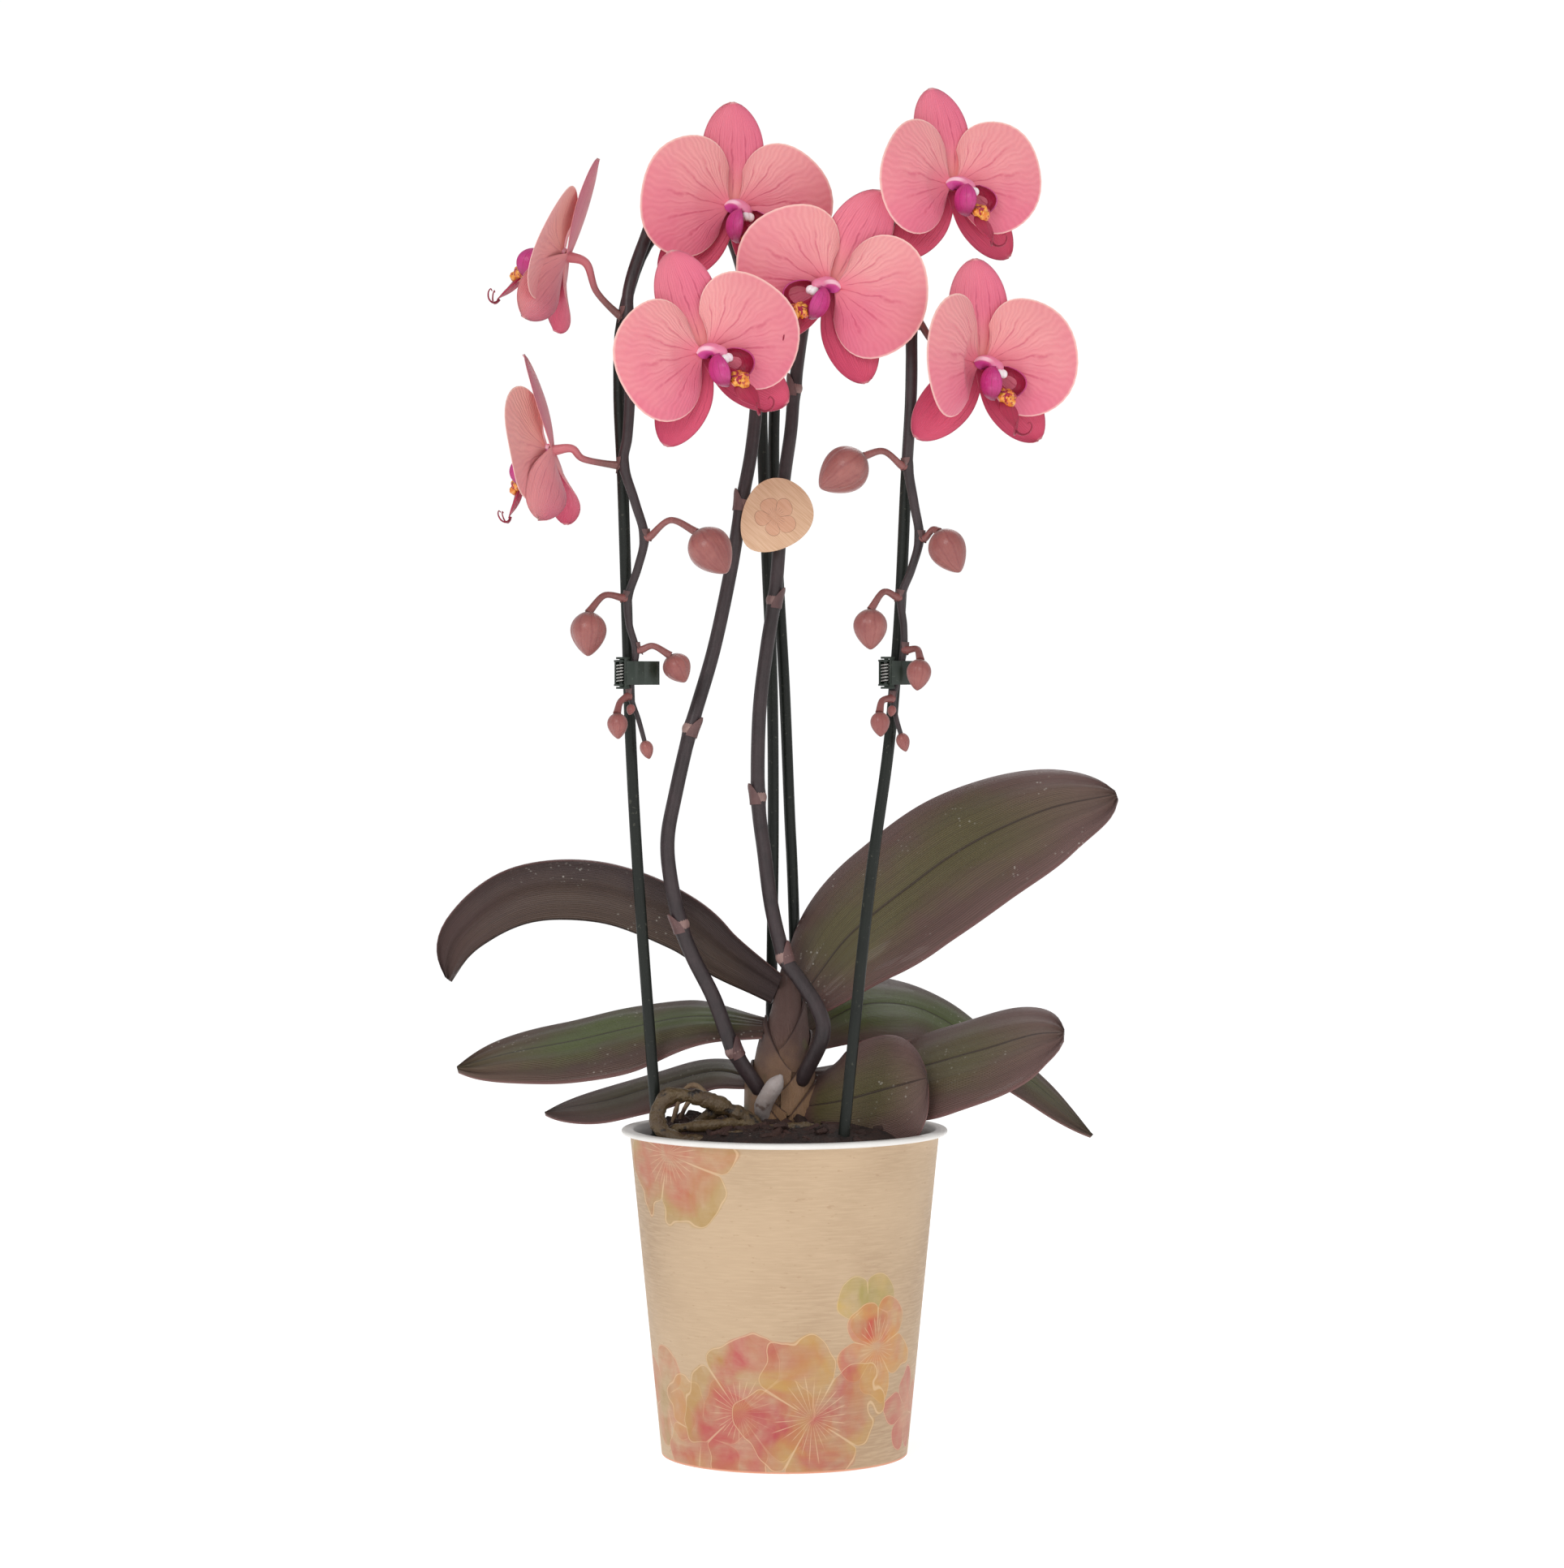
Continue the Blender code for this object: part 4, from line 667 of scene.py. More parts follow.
def curve_points(points, steps):
    """A Catmull-Rom curve through the points, with each span cut into steps."""
    padded = [2 * points[0] - points[1], *points, 2 * points[-1] - points[-2]]
    fine = []
    for a, b, c, d in zip(padded, padded[1:], padded[2:], padded[3:]):
        for step in range(steps):
            t = step / steps
            fine.append(
                0.5
                * (
                    2 * b
                    + (c - a) * t
                    + (2 * a - 5 * b + 4 * c - d) * t * t
                    + (3 * b - a - 3 * c + d) * t**3
                )
            )
    fine.append(points[-1].copy())
    return fine


def smooth_route(points, count):
    """Count points, evenly spaced, on the curve through the points."""
    fine = curve_points(points, 24)
    reach = [0.0]
    for here, there in zip(fine, fine[1:]):
        reach.append(reach[-1] + (there - here).length)
    route = []
    index = 0
    for number in range(count):
        wanted = reach[-1] * number / (count - 1)
        while index < len(fine) - 2 and reach[index + 1] < wanted:
            index += 1
        span = max(reach[index + 1] - reach[index], 1e-9)
        route.append(fine[index].lerp(fine[index + 1], (wanted - reach[index]) / span))
    return route


def mm_route(points, count):
    return smooth_route([mm(*point) for point in points], count)


def heading(route, index):
    """The direction in which the route passes its point of that number."""
    return (route[min(index + 1, len(route) - 1)] - route[max(index - 1, 0)]).normalized()


def route_frames(route):
    """For each point of the route: its tangent and two directions across, without twist."""
    tangents = [heading(route, index) for index in range(len(route))]
    side = tangents[0].orthogonal().normalized()
    frames = []
    for tangent in tangents:
        side = (side - tangent * side.dot(tangent)).normalized()
        frames.append((tangent, side, tangent.cross(side)))
    return frames


def turns_round(sides):
    """The angles of a ring's points, in radians."""
    return [2 * math.pi * number / sides for number in range(sides)]


class Skin:
    """Collects closed shells for one piece: points with their own map, and faces with a finish."""

    def __init__(self):
        self.points = []
        self.own = []
        self.faces = []
        self.slots = []

    def face(self, corners, slot):
        self.faces.append(corners)
        self.slots.append(slot)

    def sheet(self, front, back, front_slot=0, back_slot=1, matrix=None):
        """A thin closed shell between two grids of points. Rows run along the blade."""
        rows = len(front)
        columns = len(front[0])
        start = len(self.points)
        far = rows * columns
        for grid in (front, back):
            for row, line in enumerate(grid):
                for column, point in enumerate(line):
                    self.points.append(matrix @ point if matrix else point)
                    self.own.append((column / (columns - 1), row / (rows - 1)))
        for row in range(rows - 1):
            for column in range(columns - 1):
                a = start + row * columns + column
                quad = (a, a + 1, a + columns + 1, a + columns)
                self.face(quad, front_slot)
                self.face(tuple(far + index for index in reversed(quad)), back_slot)
        border = [*range(columns)]
        border += [row * columns + columns - 1 for row in range(1, rows)]
        border += [(rows - 1) * columns + column for column in range(columns - 2, -1, -1)]
        border += [row * columns for row in range(rows - 2, 0, -1)]
        for here, there in zip(border, border[1:] + border[:1]):
            here, there = start + here, start + there
            self.face((here, there, far + there, far + here), front_slot)

    def loft(self, rings, slot=0, matrix=None):
        """A closed skin over rings of equal count, with its ends filled."""
        count = len(rings[0])
        start = len(self.points)
        for row, ring in enumerate(rings):
            for index, point in enumerate(ring):
                self.points.append(matrix @ point if matrix else point)
                turn = abs(2 * index / count - 1)
                self.own.append((0.5 + 0.5 * turn, row / (len(rings) - 1)))
        for row in range(len(rings) - 1):
            for index in range(count):
                after = (index + 1) % count
                low = start + row * count
                self.face((low + index, low + after, low + count + after, low + count + index), slot)
        self.face(tuple(start + index for index in range(count)), slot)
        self.face(tuple(start + (len(rings) - 1) * count + index for index in range(count)), slot)

    def tube(self, route, radii, sides, slot=0, matrix=None):
        rings = []
        for point, radius, (_, across, up) in zip(route, radii, route_frames(route)):
            rings.append(
                [point + radius * (math.cos(a) * across + math.sin(a) * up) for a in turns_round(sides)]
            )
        self.loft(rings, slot, matrix)

    def piece(self, name, finishes, matrix=None, sharp=60):
        """The finished object, at the origin, with its faces turned outward."""
        mesh = bpy.data.meshes.new(name)
        points = [matrix @ point if matrix else point for point in self.points]
        mesh.from_pydata([tuple(point) for point in points], [], self.faces)
        own_map = mesh.uv_layers.new(name="UVMap")
        for loop in mesh.loops:
            own_map.data[loop.index].uv = self.own[loop.vertex_index]
        shell = bmesh.new()
        shell.from_mesh(mesh)
        bmesh.ops.recalc_face_normals(shell, faces=shell.faces)
        shell.to_mesh(mesh)
        shell.free()
        made = add_piece(name, mesh, finishes, sharp)
        mesh.polygons.foreach_set("material_index", self.slots)
        return made


def add_piece(name, mesh, finishes, sharp=60):
    mesh.materials.clear()
    for made in finishes:
        mesh.materials.append(made)
    mesh.shade_smooth()
    mesh.set_sharp_from_angle(angle=math.radians(sharp))
    obj = bpy.data.objects.new(name, mesh)
    bpy.context.scene.collection.objects.link(obj)
    return obj


def show(obj, body, slot, *nodes):
    """Ties the piece to its body, in place of these CAD nodes. The slot is not used."""
    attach(obj, body)
    if nodes:
        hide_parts(*nodes)
    return obj


def blade_grids(spot, rows, columns, thickness, middle_of=None):
    """Front and back grids about the surface spot(along, across), thinner toward its outline.

    The front faces -Y or, round a point given as middle_of, away from that point."""
    middle = []
    for row in range(rows):
        line = []
        for column in range(columns):
            across = math.sin(math.pi / 2 * (2 * column / (columns - 1) - 1))
            line.append(spot(row / (rows - 1), across))
        middle.append(line)
    front = []
    back = []
    for row in range(rows):
        front.append([])
        back.append([])
        for column in range(columns):
            down = middle[min(row + 1, rows - 1)][column] - middle[max(row - 1, 0)][column]
            over = middle[row][min(column + 1, columns - 1)] - middle[row][max(column - 1, 0)]
            normal = down.cross(over)
            normal = normal.normalized() if normal.length > 1e-12 else Vector((0, -1, 0))
            ahead = -normal.y if middle_of is None else normal.dot(middle[row][column] - middle_of)
            normal = normal if ahead > 0 else -normal
            rim = min(1, 4 * (1 - row / (rows - 1)), 8 * min(column, columns - 1 - column) / (columns - 1))
            half = thickness / 2 * (0.35 + 0.65 * rim)
            front[-1].append(middle[row][column] + normal * half)
            back[-1].append(middle[row][column] - normal * half)
    return front, back


# ---------------------------------------------------------------- stems that follow a route


def make_stem_tree():
    """Round stems along the splines of a curve, as thick as its points say."""
    tree, given, out = new_group(
        "stem",
        "GeometryNodeTree",
        {"Route": ("Geometry", None), "Sides": ("Int", 12), "Finish": ("Material", None)},
        {"Geometry": "Geometry"},
    )
    spline = tree.nodes.new("GeometryNodeSplineParameter")
    shared = add(
        tree,
        "GeometryNodeStoreNamedAttribute",
        {"Geometry": given["Route"], "Name": "share", "Value": spline.outputs["Factor"]},
    )
    ring = add(tree, "GeometryNodeCurvePrimitiveCircle", {"Resolution": given["Sides"], "Radius": 1.0})
    radius = tree.nodes.new("GeometryNodeInputRadius")
    skin = add(
        tree,
        "GeometryNodeCurveToMesh",
        {
            "Curve": shared.outputs[0],
            "Profile Curve": ring.outputs[0],
            "Scale": radius.outputs[0],
            "Fill Caps": True,
        },
    )
    smooth = add(tree, "GeometryNodeSetShadeSmooth", {"Geometry": skin.outputs[0]})
    real = add(tree, "GeometryNodeRealizeInstances", {"Geometry": smooth.outputs[0]})
    done = add(tree, "GeometryNodeSetMaterial", {"Geometry": real.outputs[0], "Material": given["Finish"]})
    tree.links.new(done.outputs[0], out["Geometry"])
    return tree


def grown(name, source, tree, values, finish_made):
    """Runs a geometry tree on the source object and keeps the plain mesh as a new piece."""
    step = source.modifiers.new("grow", "NODES")
    step.node_group = tree
    for item in tree.interface.items_tree:
        if item.item_type == "SOCKET" and item.in_out == "INPUT" and item.name in values:
            step[item.identifier] = values[item.name]
    graph = bpy.context.evaluated_depsgraph_get()
    mesh = bpy.data.meshes.new_from_object(source.evaluated_get(graph), depsgraph=graph)
    bpy.data.objects.remove(source)
    mesh.name = name
    return add_piece(name, mesh, [finish_made])


STEM = make_stem_tree()


def stems(name, routes, made, sides=12):
    """One piece with a stem for each (points, radii)."""
    curve = bpy.data.curves.new(name + "_route", "CURVE")
    curve.dimensions = "3D"
    for points, radii in routes:
        spline = curve.splines.new("POLY")
        spline.points.add(len(points) - 1)
        for knot, point, radius in zip(spline.points, points, radii):
            knot.co = (*point, 1)
            knot.radius = radius
    source = bpy.data.objects.new(name + "_source", curve)
    bpy.context.scene.collection.objects.link(source)
    return grown(name, source, STEM, {"Sides": sides, "Finish": made}, made)


def rounded(points, radii):
    """The route with a small dome added at each end."""
    head = (points[0] - points[1]).normalized() * radii[0]
    tail = (points[-1] - points[-2]).normalized() * radii[-1]
    points = [points[0] + head * 0.8, points[0] + head * 0.5, *points,
              points[-1] + tail * 0.5, points[-1] + tail * 0.8]
    radii = [radii[0] * 0.45, radii[0] * 0.85, *radii, radii[-1] * 0.85, radii[-1] * 0.45]
    return points, radii


# ---------------------------------------------------------------- pot and bark


def pot_inner_radius(height):
    """The radius of the pot's inner wall at a height above its underside."""
    share = height / POT_HEIGHT
    return POT_FOOT_RADIUS + (POT_TOP_RADIUS - POT_FOOT_RADIUS) * share - POT_WALL


def make_pot():
    """The tapered wall in printed paper, with a rolled white rim and a white inside."""
    under = POT_HEIGHT - 0.0020
    neck = pot_inner_radius(under) + POT_WALL
    bead = 0.0010  # radius of the rim's rolled edge
    profile = [(0.0004, 0.0006), (POT_FOOT_RADIUS - 0.0030, 0.0006), (POT_FOOT_RADIUS - 0.0022, 0.0)]
    profile += [(POT_FOOT_RADIUS - 0.0004, 0.0), (POT_FOOT_RADIUS, 0.0004)]
    for number in range(1, 16):
        height = under * number / 16
        profile.append((pot_inner_radius(height) + POT_WALL, height))
    profile += [(neck, under - 0.0004), (neck + 0.0004, under)]
    middle = (RIM_RADIUS - bead, POT_HEIGHT - bead)
    for number in range(9):
        angle = math.radians(-90 + 22.5 * number)
        profile.append((middle[0] + bead * math.cos(angle), middle[1] + bead * math.sin(angle)))
    inside = pot_inner_radius(POT_HEIGHT)
    profile += [(inside + 0.0006, POT_HEIGHT), (inside, POT_HEIGHT - 0.0006)]
    for number in range(10, -1, -1):
        height = POT_FLOOR + (POT_HEIGHT - 0.004 - POT_FLOOR) * number / 10
        profile.append((pot_inner_radius(height), height))
    profile.append((0.0004, POT_FLOOR))
    skin = Skin()
    rings = []
    turns = turns_round(POT_SIDES)
    for radius, height in profile:
        rings.append([Vector((radius * math.cos(a), radius * math.sin(a), height)) for a in turns])
    skin.loft(rings)
    pot = skin.piece("pot_with_sleeve", [PRINTED, POT_WHITE], sharp=75)
    for face in pot.data.polygons:
        out = math.hypot(face.center.x, face.center.y)
        wall = pot_inner_radius(face.center.z) + POT_WALL / 2
        printed = 0.0003 < face.center.z < under - 0.0002 and out > wall
        face.material_index = 0 if printed else 1
    show(pot, PLANT, "pot_white", "pot")


BARK_HEAP = 0.0130  # how far the loose bark is heaped above its level at the wall
CHIP_SIZE = (0.0088, 0.0052, 0.0026)  # before the scatter scales each copy
CHIP_BED_RADIUS = 0.056
CHIP_SPACING = 0.0036


def bark_height(x, y, radius):
    """The height of the loose bark, lumpy but for a ring at the stem and one at the wall."""
    away = math.hypot(x, y)
    rise = min(1, max(0, (away - 0.010) / 0.008))
    fall = min(1, max(0, (radius - away) / 0.004))
    lumps = noise.noise(Vector((x, y, 0.3)) * 110) * 0.0012
    grit = noise.noise(Vector((x, y, 0.9)) * 420) * 0.0007
    heap = BARK_HEAP * (1 - min(1, away / radius) ** 9)
    return BARK_TOP + heap + (lumps + grit) * rise * fall


def make_scatter_tree():
    """Copies of a chip, thrown at random over the source mesh and turned at random."""
    tree, given, out = new_group(
        "scattered_chips",
        "GeometryNodeTree",
        {
            "Bed": ("Geometry", None),
            "Chip": ("Object", None),
            "Spacing": ("Float", 0.005),
            "Smallest": ("Float", 0.5),
            "Largest": ("Float", 1.4),
            "Seed": ("Int", 0),
            "Finish": ("Material", None),
        },
        {"Geometry": "Geometry"},
    )
    spots = add(
        tree,
        "GeometryNodeDistributePointsOnFaces",
        {
            "Mesh": given["Bed"],
            "Distance Min": given["Spacing"],
            "Density Max": 60000.0,
            "Seed": given["Seed"],
        },
        distribute_method="POISSON",
    )
    chip = add(tree, "GeometryNodeObjectInfo", {"Object": given["Chip"]})
    turn = add(tree, "FunctionNodeRandomValue", {"Seed": given["Seed"]}, data_type="FLOAT_VECTOR")
    turn.inputs[0].default_value = (-0.55, -0.55, 0.0)
    turn.inputs[1].default_value = (0.55, 0.55, 6.28)
    spin = add(tree, "FunctionNodeEulerToRotation", {0: turn.outputs[0]})
    size = add(tree, "FunctionNodeRandomValue", {"Seed": 11}, data_type="FLOAT")
    tree.links.new(given["Smallest"], size.inputs[2])
    tree.links.new(given["Largest"], size.inputs[3])
    laid = add(
        tree,
        "GeometryNodeInstanceOnPoints",
        {
            "Points": spots.outputs["Points"],
            "Instance": chip.outputs["Geometry"],
            "Rotation": spin.outputs[0],
            "Scale": size.outputs[1],
        },
    )
    tone = add(tree, "FunctionNodeRandomValue", {"Seed": 5}, data_type="FLOAT")
    toned = add(
        tree,
        "GeometryNodeStoreNamedAttribute",
        {"Geometry": laid.outputs[0], "Name": "tone", "Value": tone.outputs[1]},
        domain="INSTANCE",
    )
    real = add(tree, "GeometryNodeRealizeInstances", {"Geometry": toned.outputs[0]})
    done = add(tree, "GeometryNodeSetMaterial", {"Geometry": real.outputs[0], "Material": given["Finish"]})
    tree.links.new(done.outputs[0], out["Geometry"])
    return tree


def make_chip():
    """One splinter of bark, with broken corners."""
    shape = bmesh.new()
    bmesh.ops.create_cube(shape, size=1.0)
    bmesh.ops.bevel(shape, geom=shape.edges[:] + shape.verts[:], offset=0.16, segments=1, affect="EDGES")
    chance = random.Random(4)
    for vert in shape.verts:
        vert.co += Vector([chance.uniform(-0.10, 0.10) for _ in range(3)])
        vert.co = Vector([place * size for place, size in zip(vert.co, CHIP_SIZE)])
    mesh = bpy.data.meshes.new("chip")
    shape.to_mesh(mesh)
    shape.free()
    obj = bpy.data.objects.new("chip", mesh)
    bpy.context.scene.collection.objects.link(obj)
    return obj


def disc_points(radius, rows, sides):
    """Rings of the bark's surface, from the outline in to the middle."""
    rings = []
    for row in range(rows):
        reach = radius * (1 - row / rows) + 0.0004
        ring = []
        for angle in turns_round(sides):
            x, y = reach * math.cos(angle), reach * math.sin(angle)
            ring.append(Vector((x, y, bark_height(x, y, radius))))
        rings.append(ring)
    return rings


def make_bark():
    radius = pot_inner_radius(BARK_TOP) - 0.0006
    skin = Skin()
    foot = [Vector((point.x, point.y, BARK_TOP - 0.012)) for point in disc_points(radius * 0.98, 1, 96)[0]]
    skin.loft([foot, *disc_points(radius, 26, 96)])
    show(skin.piece("bark_bed", [BARK]), PLANT, "bark", "bark_mix")
    bed = Skin()
    bed.loft(disc_points(CHIP_BED_RADIUS, 14, 48))
    source = bed.piece("chip_bed", [CHIP])
    chip = make_chip()
    values = {"Chip": chip, "Spacing": CHIP_SPACING, "Smallest": 0.40, "Largest": 1.15, "Seed": 7,
              "Finish": CHIP}
    chips = grown("bark_chips", source, make_scatter_tree(), values, CHIP)
    bpy.data.objects.remove(chip)
    show(chips, PLANT, "bark")


# ---------------------------------------------------------------- crown and roots

CROWN_SECTIONS = [  # height above the bark, half width in X, half depth in Y, shift in X
    (0.0003, 0.0120, 0.0100, -0.0005),
    (0.0140, 0.0130, 0.0105, -0.0010),
    (0.0270, 0.0122, 0.0100, -0.0010),
    (0.0420, 0.0098, 0.0085, 0.0000),
    (0.0570, 0.0066, 0.0062, 0.0012),
    (0.0690, 0.0040, 0.0042, 0.0014),
    (0.0780, 0.0014, 0.0014, 0.0012),
]


def crown_section(height):
    """Half width, half depth and shift of the crown at a height above the bark."""
    for low, high in zip(CROWN_SECTIONS, CROWN_SECTIONS[1:]):
        if height <= high[0]:
            share = (height - low[0]) / (high[0] - low[0])
            return [a + (b - a) * share for a, b in zip(low[1:], high[1:])]
    return CROWN_SECTIONS[-1][1:]


def crown_side(height, degrees, clearance):
    """A point beside the crown. 0 degrees is +X, and the clearance is measured outward."""
    wide, deep, shift = crown_section(height)
    angle = math.radians(degrees)
    reach = 1 / math.hypot(math.cos(angle) / wide, math.sin(angle) / deep) + clearance
    return Vector((shift + reach * math.cos(angle), reach * math.sin(angle), BARK_TOP + height))


SHEATHS = [  # height of the foot above the bark, azimuth it grows toward, height of its top
    (0.0005, 178, 0.0300),
    (0.0010, 8, 0.0310),
    (0.0090, 166, 0.0370),
    (0.0160, 20, 0.0490),
    (0.0250, 175, 0.0550),
    (0.0330, 10, 0.0640),
]
SHEATH_WRAP = 112  # degrees to each side of its azimuth
SHEATH_LIFT = 0.0022  # how far the lowest sheath stands off the crown
SHEATH_STEP = 0.00030  # how much closer each one above it lies
SHEATH_THICKNESS = 0.0007
CROWN_FOOT = 0.0003  # above the bark
CROWN_RISE = 0.0770
CROWN_RINGS = 24
CROWN_SIDES = 36


def make_crown():
    skin = Skin()
    rings = []
    for number in range(CROWN_RINGS):
        height = CROWN_FOOT + CROWN_RISE * number / (CROWN_RINGS - 1)
        rings.append([crown_side(height, 360 * side / CROWN_SIDES, 0) for side in range(CROWN_SIDES)])
    skin.loft(rings)
    for number, (foot, azimuth, top) in enumerate(SHEATHS):
        lift = SHEATH_LIFT - SHEATH_STEP * number

        def grids(inset):
            rows = []
            for row in range(15):
                share = row / 14
                line = []
                for column in range(29):
                    turn = 2 * column / 28 - 1
                    reach = 0.30 + 0.70 * math.cos(math.pi / 2 * abs(turn)) ** 1.3
                    height = foot + (top - foot) * reach * share
                    flare = 0.0008 * share**2
                    line.append(crown_side(height, azimuth + SHEATH_WRAP * turn, lift + flare - inset))
                rows.append(line)
            return rows

        skin.sheet(grids(0), grids(SHEATH_THICKNESS), 0, 0)
    tip = mm_route([(-5, -6, 133), (-8.5, -11, 138.5), (-6.5, -14.5, 144), (-3, -16, 149.5),
                    (-1.2, -16.5, 152.5)], 14)
    swell = [0.0036 * math.sin(math.pi / 2 * min(1, 0.12 + 0.30 * (13 - number))) for number in range(14)]
    skin.tube(tip, swell, 16, 1)
    crown = skin.piece("crown_sheaths", [SHEATH, ROOT_TIP])
    show(crown, PLANT, "sheath", "crown")


def knobbly(route, radius, depth, seed):
    """Radii that swell and shrink unevenly along the route, closing to a dome at its ends."""
    radii = []
    last = len(route) - 1
    for index, point in enumerate(route):
        bump = noise.noise(point * 260 + Vector((seed, 0, 0))) + 0.5 * noise.noise(point * 700)
        end = min(1, 0.35 + min(index, last - index) * 0.35)
        radii.append((radius + depth * bump) * end)
    return radii


THICK_ROOT_RADIUS = 0.0032
LOW_ROOT_RADIUS = 0.0021
DRY_ROOT_RADIUS = 0.0010
THICK_ROOT = [
    (3, -26, 122.8), (-10, -31, 125.2), (-24, -35, 126.5), (-37, -34, 128), (-46, -31, 130),
    (-50, -27, 137), (-46, -25.5, 144.5), (-37, -25, 145), (-25, -23, 141), (-14, -21, 134),
    (-6, -20, 123.5),
]
DRY_ROOTS = [
    [(-45, -5, 121), (-44, -4, 134), (-40, -3, 145), (-35, -3, 147), (-29, -4, 141), (-25, -5, 131),
     (-24, -6, 121)],
    [(-43, -6, 120), (-42, -7, 132), (-38, -6, 141), (-33, -5, 144), (-28, -7, 139), (-21, -9, 130),
     (-14, -10, 127)],
]
LOW_ROOTS = [
    [(-50, -18, 126), (-43, -27, 132), (-30, -31, 134), (-16, -29, 134.5), (-2, -25, 131), (8, -22, 126)],
    [(-33, -36, 126), (-22, -38, 130), (-8, -36, 130.5), (6, -34, 129), (18, -33, 125)],
    [(-12, -24, 128), (0, -30, 133), (13, -29, 132), (24, -25, 127)],
    [(-40, -16, 128), (-30, -20, 137), (-20, -20, 139), (-10, -17, 133)],
]


def make_roots():
    thick = mm_route(THICK_ROOT, 110)
    routes = [(thick, knobbly(thick, THICK_ROOT_RADIUS, 0.0012, 0))]
    for number, points in enumerate(LOW_ROOTS):
        route = mm_route(points, 60)
        routes.append((route, knobbly(route, LOW_ROOT_RADIUS, 0.0009, number + 8)))
    show(stems("root_loop", routes, ROOT, 16), PLANT, "root", "root_thick")
    routes = []
    for number, points in enumerate(DRY_ROOTS):
        route = mm_route(points, 60)
        routes.append((route, knobbly(route, DRY_ROOT_RADIUS, 0.0003, number + 3)))
    show(stems("dry_roots", routes, DRY_ROOT, 8), PLANT, "dry_root", "root_dry")


# ---------------------------------------------------------------- leaves

# Height and azimuth: where the leaf leaves the crown. Route: points along the midrib, in mm. Roll
# turns the blade about its midrib, near side down, at the base and at the tip. Fold raises both
# halves into a trough. Neck and full: the width at the base as a share of the whole width, and
# how far along the blade is widest. Wave: how far the margins ripple, in mm.
Leaf = namedtuple("Leaf", "name height azimuth route width roll fold neck full wave")
LEAVES = [
    Leaf("leaf_left_upper", 0.060, 176, [(-28, 3, 191), (-46, 5, 202), (-74, 8, 212),
         (-101, 9, 212), (-122, 9, 202), (-134, 9, 188)], 0.062, (-20, -24), 46, 0.55, 0.45, 1.0),
    Leaf("leaf_left_middle", 0.051, 172, [(-34, 4, 174), (-60, 9, 169), (-86, 10, 163),
         (-112, 9, 158), (-131, 7, 153)], 0.050, (22, 32), 4, 0.36, 0.50, 0.8),
    Leaf("leaf_left_lower", 0.029, 160, [(-28, 12, 151), (-51, 19, 144.5), (-73, 24, 138),
         (-97, 28, 133)], 0.034, (22, 30), 8, 0.40, 0.45, 0.5),
    Leaf("leaf_right_upper", 0.062, 12, [(26, 6, 206), (51, 11, 226), (76, 16, 243),
         (106, 20, 256), (134, 23, 262)], 0.063, (42, 52), 10, 0.38, 0.36, 0.8),
    Leaf("leaf_right_back", 0.047, 28, [(30, 20, 177), (53, 37, 175), (77, 43, 162),
         (102, 46, 143), (126, 47, 122)], 0.038, (46, 30), 6, 0.44, 0.30, 0.6),
    Leaf("leaf_right_front", 0.030, 8, [(35, 1, 149), (54, -5, 154), (78, -13, 162),
         (98, -18, 168), (110, -21, 169)], 0.051, (35, 46), 4, 0.30, 0.52, 0.7),
    Leaf("leaf_front_short", 0.019, -39, [(22, -16, 142), (39, -21, 147), (56, -26, 152)],
         0.048, (66, 72), 4, 0.50, 0.62, 0.5),
]
# Upper and under face, where they aren't the usual two.
LEAF_FACES = {
    "leaf_left_upper": (LEAF_PURPLE, LEAF_PURPLE),
    "leaf_front_short": (LEAF_BROWN, LEAF_UNDER),
    "leaf_right_upper": (LEAF_BROWN, LEAF_UNDER),
    "leaf_right_front": (LEAF_BROWN, LEAF_UNDER),
    "leaf_left_lower": (LEAF_BROWN, LEAF_UNDER),
}
POINTED_LEAVES = ("leaf_left_middle", "leaf_left_lower", "leaf_right_back")
LEAF_THICKNESS = 0.0018
LEAF_MARGIN_THICKNESS = 0.0008
LEAF_ARCH = 14  # degrees that each half bends down on its way to the margin
LEAF_ROWS = 64
LEAF_COLUMNS = 31


def leaf_half_width(leaf, share):
    """Half of the blade's width at a share of its length: a neck, a full part, a round tip."""
    if share < leaf.full:
        rise = math.sin(math.pi / 2 * share / leaf.full)
        return leaf.width / 2 * (leaf.neck + (1 - leaf.neck) * rise)
    past = (share - leaf.full) / (1 - leaf.full)
    if leaf.name in POINTED_LEAVES:
        return leaf.width / 2 * (1 - past**2.0) ** 0.80
    return leaf.width / 2 * (1 - past**2.6) ** 0.55


